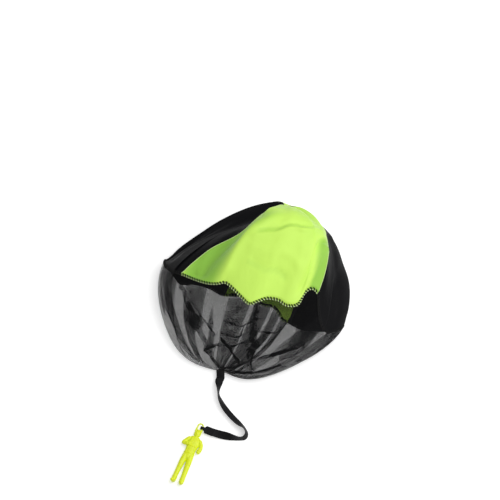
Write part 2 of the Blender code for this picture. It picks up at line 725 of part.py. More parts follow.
def main():
    clear_scene()
    group = collection("toy_parachute")
    helpers = collection("helpers", helpers=True)
    rig = bpy.data.objects.new("rig", None)
    group.objects.link(rig)
    green = material("green nylon", GREEN, 0.55)
    black = material("black nylon", BLACK, 0.6)
    thread = material("overlock thread", BLACK, 0.85)
    tulle = material("black tulle", NET_BLACK, 0.7)
    plastic = material("yellow plastic", YELLOW, 0.35)

    names = ("top", "left", "under", "right")
    looks = (green, black, green, black)
    gores = [gore_grid(number) for number in range(GORE_COUNT)]
    for name, look, points in zip(names, looks, gores):
        place(sheet_object(f"canopy_gore_{name}", points, CLOTH_WALL), group, look, rig)
    for number in range(GORE_COUNT):
        before = gores[number - 1][1:, ::-1]
        strip = seam_grid(before, gores[number][1:], SEAM_WIDTH, SEAM_WALL)
        name = f"gore_seam_{number + 1}"
        place(sheet_object(name, strip, SEAM_WALL), group, thread, rig)
    edge = rim_line(OVERLOCK_RADIUS + FIT_GAP)
    rim = tube_object("rim_overlock", edge, OVERLOCK_RADIUS, THREAD_BEVEL_COUNT, True)
    place(rim, group, thread, rig)

    net = net_grid()
    place(sheet_object("net_skirt", net, CLOTH_WALL, closed=True), group, tulle, rig)
    seam_rows = net[:-NET_SEAM_SHORT_ROWS]
    before = seam_rows[:, [NET_SEAM_COLUMN_COUNT, NET_SEAM_COLUMN_COUNT - 1]]
    after = seam_rows[:, [NET_SEAM_COLUMN_COUNT, NET_SEAM_COLUMN_COUNT + 1]]
    strip = seam_grid(before, after, NET_SEAM_WIDTH, SEAM_WALL)
    place(sheet_object("net_side_seam", strip, SEAM_WALL), group, thread, rig)
    winding = binding_line()
    binding = tube_object(
        "gather_binding", winding, BINDING_WIRE_RADIUS, THREAD_BEVEL_COUNT, False
    )
    place(binding, group, thread, rig)

    ribbon = sheet_object("ribbon", ribbon_grid(), RIBBON_WALL)
    place(ribbon, group, black, rig, origin=ribbon_root())
    place(figure_object(group, helpers, rig), group, plastic, rig, origin=loop_centre())
    stand_on_origin(rig, group, loose=("ribbon",))
    bpy.context.view_layer.update()
    for name in ("ribbon", "figure"):
        hinge = bpy.data.objects[name].matrix_world.translation
        print(name, "hinge", [round(value, 5) for value in hinge])
    print("ribbon length", ribbon_line()[2][-1])


main()
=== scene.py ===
"""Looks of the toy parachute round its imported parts: four nylon gores, a tulle net gathered to
a grosgrain ribbon, overlocked seams, and a moulded figure, all lying on a pale table."""

import json
import math

import bpy
import numpy as np
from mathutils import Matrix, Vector


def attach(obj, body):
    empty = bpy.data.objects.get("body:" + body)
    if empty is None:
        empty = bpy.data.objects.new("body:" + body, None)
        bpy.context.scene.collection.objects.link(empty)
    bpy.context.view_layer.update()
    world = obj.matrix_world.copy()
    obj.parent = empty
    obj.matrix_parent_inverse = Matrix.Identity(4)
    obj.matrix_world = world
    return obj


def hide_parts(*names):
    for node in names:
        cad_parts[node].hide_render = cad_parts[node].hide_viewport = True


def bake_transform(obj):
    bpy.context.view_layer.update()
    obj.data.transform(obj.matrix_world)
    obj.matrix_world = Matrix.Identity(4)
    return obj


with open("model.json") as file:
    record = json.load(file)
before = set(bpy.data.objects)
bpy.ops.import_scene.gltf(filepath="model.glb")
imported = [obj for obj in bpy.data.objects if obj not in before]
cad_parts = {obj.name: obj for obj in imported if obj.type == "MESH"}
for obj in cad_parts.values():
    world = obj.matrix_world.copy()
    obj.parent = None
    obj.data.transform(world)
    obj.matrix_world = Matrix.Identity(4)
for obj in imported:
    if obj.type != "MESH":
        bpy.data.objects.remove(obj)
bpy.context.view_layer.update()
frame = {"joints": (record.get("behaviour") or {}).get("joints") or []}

MM = 0.001
DEG = math.pi / 180
TURN = 2 * math.pi
TINY = 1e-9

# The lying canopy, the same sizes as its solids
CLOTH_WALL = 0.8 * MM
FIT_GAP = 0.35 * MM
AXIS_TURN = 21.7 * DEG
GORE_NAMES = ("top", "left", "under", "right")
GREEN_GORES = ("top", "under")
GORE_COUNT = len(GORE_NAMES)
FIRST_SEAM_TURN = 46 * DEG
MOUTH_HALF_WIDTH = 150 * MM
APEX_SIDE = -8 * MM
APEX_REACH = 160 * MM
APEX_HEIGHT = 55 * MM

# The rim of the lying canopy, round from its right end over the top: turn in degrees, then as
# shares of the mouth's half width its place across, along and up, how square its meridian is
# (2 is an ellipse, 1 is straight), and how far the meridian swells upward and behind the apex
RIM_SHARES = (
    (3, 1.007, 0.120, 0.127, 1.75, 0.000, 0.093),
    (10, 0.993, 0.067, 0.173, 1.75, 0.013, 0.093),
    (17, 0.953, 0.000, 0.227, 1.75, 0.033, 0.100),
    (24, 0.893, -0.060, 0.273, 1.8, 0.053, 0.107),
    (31, 0.820, -0.047, 0.327, 1.9, 0.073, 0.107),
    (37, 0.760, 0.033, 0.380, 2.05, 0.093, 0.080),
    (41, 0.713, 0.127, 0.427, 2.3, 0.107, 0.020),
    (46, 0.660, 0.233, 0.480, 2.6, 0.127, -0.040),
    (51, 0.587, 0.247, 0.533, 2.6, 0.147, -0.047),
    (55, 0.540, 0.173, 0.553, 2.6, 0.173, -0.033),
    (60, 0.520, 0.020, 0.560, 2.5, 0.200, -0.013),
    (66, 0.413, -0.040, 0.567, 2.4, 0.220, 0.000),
    (72, 0.307, -0.020, 0.573, 2.35, 0.227, 0.000),
    (78, 0.193, -0.047, 0.580, 2.3, 0.233, 0.000),
    (83, 0.113, -0.113, 0.580, 2.2, 0.233, 0.000),
    (88, 0.040, -0.173, 0.573, 2.2, 0.233, 0.000),
    (94, -0.073, -0.133, 0.580, 2.1, 0.227, 0.000),
    (100, -0.173, -0.087, 0.587, 2, 0.220, 0.000),
    (106, -0.287, -0.047, 0.580, 1.9, 0.207, 0.000),
    (112, -0.373, -0.087, 0.560, 1.7, 0.180, 0.000),
    (119, -0.480, -0.107, 0.527, 1.55, 0.133, 0.000),
    (127, -0.613, -0.100, 0.480, 1.35, 0.080, 0.000),
    (136, -0.787, -0.073, 0.413, 1.22, 0.053, 0.013),
    (146, -0.900, -0.053, 0.333, 1.22, 0.033, 0.033),
    (158, -0.980, -0.007, 0.267, 1.24, 0.020, 0.060),
    (170, -1.027, 0.047, 0.207, 1.26, 0.007, 0.080),
    (181, -1.033, 0.093, 0.147, 1.3, 0.000, 0.093),
    (190, -0.947, 0.040, 0.093, 1.35, 0.000, 0.107),
    (199, -0.800, -0.053, 0.053, 1.45, 0.000, 0.120),
    (207, -0.673, 0.007, 0.033, 1.5, 0.000, 0.127),
    (216, -0.507, 0.027, 0.013, 1.6, 0.000, 0.133),
    (226, -0.333, 0.007, -0.007, 1.6, 0.000, 0.133),
    (236, -0.187, 0.060, -0.033, 1.7, 0.000, 0.133),
    (246, -0.027, 0.080, -0.053, 1.8, 0.000, 0.133),
    (258, 0.107, 0.060, -0.067, 1.8, 0.000, 0.133),
    (270, 0.213, 0.080, -0.067, 1.8, 0.000, 0.133),
    (286, 0.307, 0.027, -0.053, 1.8, 0.000, 0.127),
    (300, 0.360, -0.020, -0.033, 1.8, 0.000, 0.120),
    (316, 0.440, -0.027, -0.013, 1.8, 0.000, 0.113),
    (328, 0.613, -0.040, 0.013, 1.75, 0.000, 0.107),
    (340, 0.800, 0.013, 0.033, 1.75, 0.000, 0.100),
    (348, 0.920, 0.060, 0.060, 1.75, 0.000, 0.093),
    (356, 0.987, 0.100, 0.093, 1.75, 0.000, 0.093),
)
SWELL_BACK_SHARE = 1.72

# Where a form grows or fades along the canopy, the net or the whole cloth: from which place, and
# over how far
RIM_THICKENS = (0.8, 0.2)
RIM_THINS = (0, 0.25)
PLEAT_GROWS_OVER = 0.4
PLEAT_FADES_OVER = 0.2
CREASES_GROW = (1.04, 0.08)
CREASES_FADE = (1.86, 0.10)
RELIEF_FADES = (0.9, 0.1)
NECK_CALMS = (1.85, 0.12)

# The flat cut of the cloth
FLAT_RADIUS = 205 * MM
NET_LENGTH = 165 * MM
NET_END_WIDTH = 360 * MM
SKIN = 0.25 * MM

# Where layers lie on the table, the share that is left of how far they stand apart, and the
# most that counts to each side
LAYER_SHARE = 0.22
LAYER_MOST = 1.6 * MM

# Pleats of the whole cloth: turn at the rim and its drift towards the neck, half width and
# depth, all in degrees, how far the layers stand apart in mm, and where it starts and ends,
# where 0 is the apex, 1 the rim and 2 the neck
PLEATS = (
    (148, -8, 4.5, 9.0, 1.6, 0.35, 2.2),
    (163, -14, 3.0, 7.0, 1.4, 0.50, 1.3),
    (191, 10, 4.0, 8.5, 1.5, 0.45, 1.25),
    (209, 8, 4.0, 9.0, 1.5, 0.40, 1.3),
    (238, 6, 5.0, 11.0, 1.2, 0.30, 2.2),
    (258, 6, 5.0, 12.0, 1.2, 0.30, 2.2),
    (281, 3, 6.0, 13.0, 1.2, 0.30, 2.2),
    (303, 4, 5.0, 11.0, 1.2, 0.30, 2.2),
    (330, 6, 4.5, 10.0, 1.5, 0.35, 1.3),
    (352, 14, 4.0, 9.0, 1.5, 0.40, 1.25),
    (17, 16, 5.0, 11.0, 1.6, 0.30, 2.2),
    (33, 14, 3.0, 6.0, 1.4, 0.60, 2.2),
    (128, 6, 3.5, 6.0, 1.4, 1.05, 2.2),
    (112, 0, 2.5, 4.5, 1.2, 1.10, 2.2),
    (84, 4, 2.0, 3.5, 1.0, 1.15, 2.2),
    (62, 12, 2.5, 5.0, 1.2, 1.10, 2.2),
)

# Creases of the net, from one place and turn to another: half width, depth, and how far the
# layers stand apart, in mm
NET_CREASES = (
    (1.47, 100, 1.31, 60, 4.2, 4.6, 0.8),
    (1.60, 109, 1.47, 74, 4.6, 5.4, 0.9),
    (1.36, 99, 1.24, 74, 4.2, 4.8, 0.8),
    (1.13, 134, 1.42, 124, 5.5, 9.0, 1.0),
    (1.40, 125, 1.64, 114, 5.5, 9.0, 1.0),
    (1.62, 116, 1.88, 96, 4.5, 7.0, 0.9),
    (1.58, 45, 1.28, 32, 4.5, 5.4, 0.9),
    (1.15, 131, 1.50, 108, 4.2, 4.4, 0.8),
    (1.07, 62, 1.49, 50, 4.2, 4.6, 0.8),
    (1.26, 141, 1.74, 161, 4.2, 4.6, 0.8),
    (1.60, 60, 1.86, 80, 4.4, 5.0, 0.8),
    (1.50, 28, 1.82, 48, 4.5, 5.4, 0.9),
    (1.40, 235, 1.66, 285, 4.5, 5.0, 0.9),
    (1.58, 322, 1.33, 270, 4.5, 5.0, 0.9),
)

# Ridges and hollows of the canopy, from one place and turn to another: half width and height
# in mm
CANOPY_RELIEF = (
    (0.46, 112, 0.98, 108, 13, 3.5),
    (0.55, 128, 0.98, 128, 24, -10),
    (0.25, 150, 0.80, 172, 30, -8),
    (0.60, 54, 0.98, 62, 7, -4.0),
    (0.66, 49, 0.94, 54, 6, 2.5),
    (0.64, 103, 0.52, 78, 6, 1.8),
    (0.52, 78, 0.40, 25, 6, 1.8),
    (0.58, 102, 0.46, 74, 8, -1.8),
    (0.80, 96, 0.89, 73, 4, -1.0),
    (0.73, 100, 0.80, 66, 6, 1.0),
    (0.62, 138, 0.90, 128, 6, 1.6),
    (0.35, 158, 0.85, 160, 8, -2.0),
    (0.40, 20, 0.85, 15, 14, 2.5),
    (0.45, 0, 0.85, 30, 9, -2.0),
)

# Painted shade on the top gore, a deeper green along its shaded slopes and creases: from one
# place and turn to another, half width in mm, and how strong. It fades over the last of so many
# half widths.
PAINTED_SHADE_LINES = (
    (0.60, 130, 1.10, 123, 34, 0.95),
    (0.15, 110, 0.40, 60, 30, 0.25),
    (0.58, 48, 1.10, 49, 14, 0.85),
    (0.60, 103, 0.50, 82, 5, 0.3),
    (0.50, 82, 0.40, 40, 5, 0.3),
    (0.82, 98, 0.89, 73, 3, 0.15),
)
PAINTED_SHADE_EDGE = 1.6

# How far the crown has turned on the apex, where it has most, and over how much of the radius
CROWN_TURN = 25 * DEG
CROWN_PLACE = 0.30
CROWN_SPREAD = 0.24
CROWN_MIDDLE = 91 * DEG

# Fine pleats of the net, which gather it into the neck: how many, and the slow waves that make
# them uneven, each with its count, size and lag
FINE_COUNT = 44
FINE_WAVES = ((3, 1.7, 1.0), (7, 1.1, 2.0))
FINE_START = 1.30
FINE_DEPTH_SHARE = 1.8
FINE_LIFT = 0.9 * MM
FINE_SIDES_SHARE = 0.75

# Grid of the whole cloth: columns all round, rows of the canopy and rows of the net, its first
# place off the apex, its step across the rim, over how many rows the rim lies thicker on the
# table, and how near the points are that give a way round or along the cloth
COLUMNS = 792
GORE_COLUMNS = COLUMNS // GORE_COUNT
CANOPY_ROWS = 64
NET_ROWS = 110
FIRST_PLACE = 0.004
RIM_GAP = 1e-6
RIM_ROWS = 2
NEAR = 0.03
NEAR_PLACE = 0.01

# Net: its fall and how square its threads run at the top, left and right, how far it bulges
# past the gather, and where its flat cut is measured round it
OVERLOCK_RADIUS = 1.1 * MM
GATHER_REACH = 121 * MM
GATHER_SIDE = -6 * MM
GATHER_HEIGHT = 6.8 * MM
NECK_RADIUS = 4 * MM
NECK_LENGTH = 8.5 * MM
NET_FALL_SHARE = 1.35
NET_TOP_SQUARE_SHARE = 1.45
NET_LEFT_SQUARE_SHARE = 2.05
NET_RIGHT_SQUARE_SHARE = 1.6
NET_LOBE = 12 * MM
NET_ROUND_POWER = 1.2
NET_CUT_PLACE = 0.3
NECK_BLEND_SHARE = 9

# Thread round the neck: an oval winding that waves and strays a little, its knot and its ends
BINDING_WIRE_RADIUS = 0.42 * MM
BINDING_TURNS = 7
BINDING_POINTS = 40
BINDING_WAVES = ((0.03, 0.31), (0.02, 0.77))
BINDING_STRAY = 0.15 * MM
BINDING_STRAY_RATE = 1.13
BINDING_START = 1.2 * MM
BINDING_PITCH = 0.82 * MM
BINDING_ACROSS = 6.2 * MM
BINDING_UP = 4.9 * MM
BINDING_LIFT = 0.6 * MM
KNOT_PLACE = 3.4 * MM
KNOT_SIZE = 0.55 * MM
KNOT_POINTS = 120
KNOT_LAG = 7
LOOSE_END_STEP = 0.5 * MM
END_LEAN = 0.1

# Neck of bunched net: its folds, how it is drawn in under the thread, and its rough end
NECK_FOLD_COUNT = 13
NECK_FOLD_SHARE = 0.16
NECK_COLUMNS = 120
NECK_ROWS = 30
NECK_DRAWN_SHARE = 0.18
NECK_DRAWN_SPREAD = 0.28
NECK_TWIST = 4
NECK_END_SHARE = 0.10
NECK_TIP_SHARE = 0.02
NECK_RAGGED = 0.6 * MM
NECK_RAGGED_COUNT = 7
NECK_FRAYS = (0.8, 0.2)
NECK_UNDER_NET = 1.5 * MM
NECK_PAST_END = 0.5 * MM

# Loose ends of the knot's thread, in mm to the side, along and up from the middle of the neck
LOOSE_ENDS = (
    ((0.6, 0.2, 6.2), (2.8, 0.9, 6.4), (5.4, 2.2, 4.8), (7.2, 4.2, 3.4)),
    ((-0.6, -0.2, 6.2), (-2.6, -1.4, 6.3), (-5.0, -1.6, 4.9), (-6.9, -0.4, 2.8)),
)

# Overlocked rim and seams
RIM_EDGE_RADIUS = 0.85 * MM
THREAD_RADIUS = 0.38 * MM
STITCH_PITCH = 4.6 * MM
STITCH_POINTS = 14
STRAND_COUNT = 3
STRAND_APART = 0.9 * MM
STITCH_REACH = 2.3 * MM
STITCH_SET_BACK = 1.3 * MM
STITCH_RISE = 0.9 * MM
SEAM_WIDTH = 4.4 * MM
SEAM_WALL = 0.5 * MM
SEAM_INSET = 0.55 * MM
SEAM_MOST_COLUMNS = 36
SEAM_PLACES = 7
SEAM_RIDGE_RADIUS = 0.4 * MM

# Where the net's side seam runs: place and turn
NET_SEAM_ROUTE = (
    (1.0, 84), (1.12, 82.5), (1.28, 80), (1.44, 73), (1.58, 62), (1.75, 58), (2.0, 58)
)
NET_SEAM_STEP = 0.01
NET_SEAM_PLACES = 9
NET_SEAM_ROWS_LEFT_OUT = 3
NET_SEAM_CUT_SHARE = 3

# Ribbon: its sizes, its ribs, and the loop round the ring's leg
RIBBON_WIDTH = 13 * MM
RIBBON_WALL = 0.7 * MM
RIBBON_ROOT_WIDTH = 8 * MM
RIBBON_LOOP_WIDTH = 5 * MM
RIBBON_LOOP_TAIL = 12 * MM
LOOP_TAPER_LENGTH = 3.5 * MM
RIB_PITCH = 1.1 * MM
RIB_STEPS = 4
RIB_NARROW_SHARE = 0.98
RIB_WALL_SHARES = (0.62, 0.95)
RIBBON_PLACES = 13
OVER_NECK_SHARE = 1.2
LOOP_SHUT_SHARE = 2.4
LOOP_BEND_POINTS = 5
LIE_CLEARANCE = 0.5 * MM

# The ribbon's end on the neck and its route on the table from its root, as x, y and height in
# mm, and its tilt from flat
RIBBON_ON_NECK = (
    (0.0, 12.6, 11.4, 0),
    (0.0, 9.0, 11.6, 0),
    (0.0, 5.6, 11.0, 0),
    (0.0, 2.6, 8.8, 0),
)
RIBBON_ROUTE = (
    (0.0, 0.0, 6.8, 0),
    (-2.2, -5.6, 6.8, 12),
    (-3.4, -15.2, 7.2, 56),
    (-3.3, -25.5, 7.4, 74),
    (-0.1, -37.0, 6.2, 54),
    (7.1, -50.6, 5.0, 36),
    (17.5, -64.1, 4.8, 33),
    (28.7, -75.9, 5.4, 38),
    (38.0, -84.9, 6.9, 62),
    (41.7, -93.4, 7.2, 65),
    (39.1, -100.4, 7.3, 68),
    (31.9, -102.9, 7.2, 80),
    (21.5, -101.3, 6.9, 64),
    (10.3, -97.9, 5.0, 32),
    (-1.7, -94.6, 4.4, 12),
)

# Figure and its ring: sizes, and how fine the mesh of its limbs is
FIGURE_TURN = 247.9 * DEG
BODY_LENGTH = 97 * MM
RING_WIRE_RADIUS = 1.2 * MM
RING_HOLE_WIDTH = 6 * MM
RING_ACROSS = 0.5 * MM
RING_HEIGHT = 12.5 * MM
RING_ROOT_DEPTH = 6.5 * MM
LOOP_ALONG = 7.45 * MM
SWING_TURN = 25 * DEG
FIGURE_GRAIN = 0.4 * MM
LIMB_SIDES = 28
LIMB_STEP_SHARE = 0.008
LIMB_CAP_RINGS = 7
CAP_TURNS = (0.1, math.pi / 2 - 0.05)
LEAST_ACROSS = 1e-6
RING_STEPS = 40
RING_LEG_STEPS = 12
RING_SIDES = 16
FIGURE_SMOOTHINGS = 5

# Stations of each limb as shares of the body's length: along, across, height above the
# middle, half width and half depth
HEAD_SHARES = (
    (0.028, 0, 0, 0.036, 0.034),
    (0.055, 0, 0, 0.057, 0.048),
    (0.098, 0, 0, 0.052, 0.046),
    (0.122, 0, 0, 0.038, 0.038),
)
NECK_SHARES = (
    (0.10, 0, 0, 0.036, 0.032),
    (0.135, 0, 0, 0.044, 0.034),
    (0.165, 0, 0, 0.074, 0.036),
)
TORSO_SHARES = (
    (0.150, 0, 0, 0.082, 0.035),
    (0.195, 0, 0, 0.102, 0.048),
    (0.265, 0, 0, 0.104, 0.053),
    (0.340, 0, 0, 0.092, 0.049),
    (0.395, 0, 0, 0.086, 0.045),
    (0.450, 0, 0, 0.092, 0.048),
    (0.505, 0, 0, 0.088, 0.045),
)
LEFT_ARM_SHARES = (
    (0.185, -0.093, 0.000, 0.036, 0.036),
    (0.238, -0.132, 0.002, 0.034, 0.033),
    (0.288, -0.158, 0.008, 0.031, 0.030),
    (0.294, -0.112, 0.028, 0.031, 0.027),
    (0.278, -0.056, 0.042, 0.033, 0.024),
)
RIGHT_ARM_SHARES = (
    (0.185, 0.093, 0.000, 0.036, 0.036),
    (0.235, 0.128, 0.002, 0.036, 0.034),
    (0.295, 0.145, 0.004, 0.034, 0.032),
    (0.365, 0.132, 0.006, 0.035, 0.032),
)
LEG_SHARES = (
    (0.480, 0.046, 0.000, 0.050, 0.046),
    (0.600, 0.054, 0.000, 0.049, 0.045),
    (0.740, 0.062, 0.000, 0.043, 0.042),
    (0.860, 0.067, 0.000, 0.040, 0.040),
    (0.950, 0.069, 0.000, 0.038, 0.038),
)
BOOT_SHARES = (
    (0.958, 0.068, -0.004, 0.036, 0.034),
    (0.966, 0.074, 0.030, 0.034, 0.032),
    (0.972, 0.080, 0.060, 0.030, 0.028),
)

# Cuffs round the arms, as shares of the arm: middle and half length, and of the body: height
CUFFS = ((0.84, 0.05, 0.0045),)
BAND_EDGE_SHARE = 0.04

# The figure's moulded details, down its body in shares of its length and across it in mm, with
# heights in mm. A bell has its place down and across, its size both ways, and its height. A box
# runs from low to high and has soft edges of a width. A pad is a box down, a box across and a
# height. Eyes, straps, knees and pockets are on both sides.
FACE_BELLS = (
    (0.077, 0, 0.009, 0.75, 0.85),
    (0.0835, 0, 0.004, 1.05, 0.35),
    (0.0615, 0, 0.003, 3.2, 0.2),
    (0.0975, 0, 0.0016, 1.5, -0.28),
    (0.1015, 0, 0.0022, 1.2, 0.14),
    (0.113, 0, 0.006, 1.5, 0.25),
)
EYE_BELLS = ((0.0695, 1.9, 0.0055, 1.15, -0.42), (0.0698, 1.9, 0.0028, 0.7, 0.22))
KNEE_BELLS = ((0.70, 6.1, 0.018, 3.0, 0.35),)
SHARP = 1e-6
BODY_HALF_WIDTH = 9.6
ROUND_PADS = (
    ((0.146, 0.156, 0.005), (-6, 6, SHARP), 0.40),
    ((0.300, 0.312, 0.004), (-6.5, 6.5, 0.5), 0.40),
    ((0.424, 0.440, 0.004), (-BODY_HALF_WIDTH, BODY_HALF_WIDTH, SHARP), 0.42),
)
FRONT_PADS = (((0.421, 0.443, 0.003), (-1.7, 1.7, 0.3), 0.30),)
POCKET_PADS = (
    ((0.222, 0.252, 0.004), (1.0, 3.1, 0.3), 0.28),
    ((0.575, 0.640, 0.004), (6.0, 12.0, 0.4), 0.28),
)

# Where the front, the head and the torso end, and the helmet, straps, zip, boots and laces,
# with edges and heights told in the same ways
FRONT_RATE = 2.5
HEAD_START = -0.02
HEAD_END = 0.135
HEAD_END_OVER = 0.006
HEAD_HALF_WIDTH = 7
TORSO_BOX = (0.16, 0.46, 0.01)
HELMET_HEIGHT = 0.45
HELMET_BROW = (-0.052, 0.006)
HELMET_BACK = (0.1, 0.25)
HELMET_BACK_END = 0.095
STRAP_HEIGHT = 0.4
STRAP_BOX = (3.4, 5.0, 0.35)
STRAP_LENGTH_BOX = (0.165, 0.43, 0.01)
STRAP_START = 0.17
STRAP_LEAN = 9
ZIP_DEPTH = 0.2
ZIP_WIDTH = 0.3
ZIP_BOX = (0.17, 0.42, 0.01)
BOOT_HEIGHT = 0.38
BOOT_TOP = (0.872, 0.008)
LACE_HEIGHT = 0.16
LACE_PITCH = 0.014
LACE_WIDTH_SHARE = 0.03
LACE_BOX = (0.885, 0.95, 0.004)

# Creases of its clothes: where down the body and over how much, how fast their wave runs down
# and across, and their depth
CLOTHES_CREASES = (
    (0.55, 0.02, 260, 1.3, 0.14),
    (0.73, 0.02, 240, -1.7, 0.12),
    (0.85, 0.018, 230, 0.9, 0.14),
    (0.37, 0.03, 300, 2.1, 0.10),
)

# Table and light, in metres and watts
TABLE_HALF_WIDTH = 3.0
TABLE_GAP = 0.2 * MM
TABLE_GLOW = 0.46
WORLD_STRENGTH = 0.46
KEY_PLACE = (1.0, 0.2, 1.7)
KEY_SIZE = 2.2
KEY_POWER = 30

# Steps of a smooth curve between two of its points
CURVE_STEPS = 40

# Colours of the cloth, with the deeper green that paints shade on the green cloth, and sizes of
# its weave, mesh and stitches
GREEN = (0.60, 0.91, 0.13)
SHADE_GREEN = (0.26, 0.55, 0.06)
BLACK = (0.0042, 0.0042, 0.005)
NYLON_WEAVE = 0.55 * MM
TULLE_CELL = 1.1 * MM
TULLE_THREAD = 0.28 * MM
TULLE_STRAY = 3 * MM
SEAM_STITCH_PITCH = 1.3 * MM

# View: the middle of the picture, its width there, and how high the camera looks from
VIEW_FROM_TOY = (-3.17 * MM, 78.32 * MM, 50 * MM)
VIEW_WIDTH = 800 * MM
VIEW_RISE = 70 * DEG
LENS = 1000
SENSOR = 36


def smooth_step(value):
    """3 x^2 - 2 x^3 between 0 and 1, level before and after."""
    value = np.clip(value, 0, 1)
    return value * value * (3 - 2 * value)


def ramp(value, start, span):
    """A smooth step from zero at the start to one a span later."""
    return smooth_step((value - start) / span)


def lerp(low, high, share):
    """The value a share of the way from low to high."""
    return low + (high - low) * share


def unit(vectors):
    """Vectors at length one."""
    return vectors / np.maximum(np.linalg.norm(vectors, axis=-1, keepdims=True), TINY)


def polar(radius, turn):
    """Flat points at a radius and a turn."""
    return np.stack([radius * np.cos(turn), radius * np.sin(turn)], axis=-1)


def to_world(across, along, up):
    """Points of the lying canopy: across to the right of its axis, along it to the apex, up."""
    cos, sin = math.cos(AXIS_TURN), math.sin(AXIS_TURN)
    return np.stack(
        np.broadcast_arrays(across * cos + along * sin, along * cos - across * sin, up),
        axis=-1,
    )


def joint_place(name):
    """Where a joint is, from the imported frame."""
    return np.array(next(j["pos_m"] for j in frame["joints"] if j["name"] == name))


GATHER = to_world(GATHER_SIDE, -GATHER_REACH, GATHER_HEIGHT)
NECK_WAY = np.array((0.0, -1.0, 0.0))
ROOT_REACH = NECK_LENGTH + CLOTH_WALL / 2 + FIT_GAP + RIBBON_ROOT_WIDTH / 2
PLACE = joint_place("ribbon_swing") - (GATHER + NECK_WAY * ROOT_REACH)
PLACE[2] = 0
VIEW_CENTRE = Vector(PLACE + VIEW_FROM_TOY)


# Meshes


def surface(name, points, uv=None, around=False, along=False, ends=False, turned=False):
    """A grid of points, rows by columns, as quads. Around joins the last column to the first,
    along joins the last row to the first, ends closes the outer rows with a face each, and
    turned makes the faces point the other way. A uv grid has one column and row more where
    the points are joined."""
    rows, columns = points.shape[:2]
    row, column = np.meshgrid(
        np.arange(rows if along else rows - 1),
        np.arange(columns if around else columns - 1),
        indexing="ij",
    )
    corners = ((0, 0), (0, 1), (1, 1), (1, 0))
    corners = corners[::-1] if turned else corners
    faces = np.stack(
        [(row + r) % rows * columns + (column + c) % columns for r, c in corners], axis=-1
    )
    faces = faces.reshape(-1, 4).tolist()
    if ends:
        first, last = list(range(columns)), list(range((rows - 1) * columns, rows * columns))
        faces += [first, last[::-1]] if turned else [first[::-1], last]
    mesh = bpy.data.meshes.new(name)
    mesh.from_pydata(points.reshape(-1, 3).tolist(), [], faces)
    mesh.shade_smooth()
    if uv is not None:
        layer = mesh.uv_layers.new(name="cut")
        table = np.zeros((len(mesh.loops), 2))
        cells = np.stack([uv[row + r, column + c] for r, c in corners], axis=-2)
        table[: row.size * 4] = cells.reshape(-1, 2)
        layer.data.foreach_set("uv", table.ravel())
    return mesh


def piece(mesh, look, body, slot, *nodes):
    """A mesh as an object of the toy: its finish, the body it rides on, if it is on one alone,
    and what it stands for."""
    obj = bpy.data.objects.new(mesh.name, mesh)
    bpy.context.scene.collection.objects.link(obj)
    mesh.materials.append(look)
    if body:
        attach(obj, body)
    if nodes:
        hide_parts(*nodes)
    return obj


def thicken(obj, wall):
    """Gives a cloth its wall, half of it to each side."""
    skin = obj.modifiers.new("cloth", "SOLIDIFY")
    skin.thickness = wall
    skin.offset = 0
    skin.use_even_offset = False


def swept(name, path, side, above, profile, closed=False):
    """A profile carried along a path: point = path + side * profile x + above * profile y.
    The profile is (stations, points, 2), or (points, 2) for one that doesn't change."""
    profile = np.broadcast_to(profile, (len(path), *profile.shape[-2:]))
    grid = path[:, None] + side[:, None] * profile[..., :1] + above[:, None] * profile[..., 1:]
    return surface(name, grid, around=True, along=closed, ends=not closed)


def thread(name, path, outward, radius, closed=False):
    """A round thread along a path, its profile set by the way outward from what it lies on."""
    way = heading_of(path, closed)
    side = unit(np.cross(way, outward))
    return swept(name, path, side, np.cross(side, way), circle(6, radius), closed)


def circle(count, radius=1.0):
    """Points round a circle."""
    return polar(radius, np.arange(count) * TURN / count)


def heading_of(path, closed=False):
    """The way along a path at each of its points."""
    if closed:
        return unit(np.roll(path, -1, axis=0) - np.roll(path, 1, axis=0))
    return unit(np.gradient(path, axis=0))


def lengths_of(path):
    """How far along a path each of its points is."""
    return np.r_[0, np.cumsum(np.linalg.norm(np.diff(path, axis=0), axis=1))]


def smooth_line(points, step):
    """A Catmull-Rom curve through the points (any number of columns), at about even steps."""
    padded = np.concatenate(
        [2 * points[:1] - points[1:2], points, 2 * points[-1:] - points[-2:-1]]
    )
    before, start, end, after = (padded[i : len(padded) - 3 + i, None] for i in range(4))
    t = np.linspace(0, 1, CURVE_STEPS, endpoint=False)[None, :, None]
    fine = (
        start
        + t / 2 * (end - before)
        + t**2 / 2 * (2 * before - 5 * start + 4 * end - after)
        + t**3 / 2 * (3 * start - before - 3 * end + after)
    ).reshape(-1, points.shape[1])
    fine = np.concatenate([fine, points[-1:]])
    lengths = lengths_of(fine[:, :3])
    places = np.linspace(0, lengths[-1], max(2, round(lengths[-1] / step)) + 1)
    return resampled(fine, lengths, places)


def resampled(table, lengths, places):
    """The columns of a table at other lengths along it, straight between its rows."""
    return np.stack([np.interp(places, lengths, column) for column in table.T], axis=-1)


# Finishes


def finish_of(name, colour, roughness, specular):
    """A new material, its node tree and its shader."""
    look = bpy.data.materials.new(name)
    look.use_nodes = True
    shader = look.node_tree.nodes["Principled BSDF"]
    shader.inputs["Base Color"].default_value = (*colour, 1)
    shader.inputs["Roughness"].default_value = roughness
    shader.inputs["Specular IOR Level"].default_value = specular
    return look, look.node_tree, shader


def node(tree, kind, inputs, **settings):
    """A new node with its settings, and its inputs set to values or linked to sockets."""
    made = tree.nodes.new(kind)
    for key, value in settings.items():
        setattr(made, key, value)
    for key, value in inputs.items():
        if isinstance(value, bpy.types.NodeSocket):
            tree.links.new(value, made.inputs[key])
        else:
            made.inputs[key].default_value = value
    return made


def maths(tree, operation, *values):
    """The result of a maths node on values or sockets."""
    return node(tree, "ShaderNodeMath", dict(enumerate(values)), operation=operation).outputs[0]


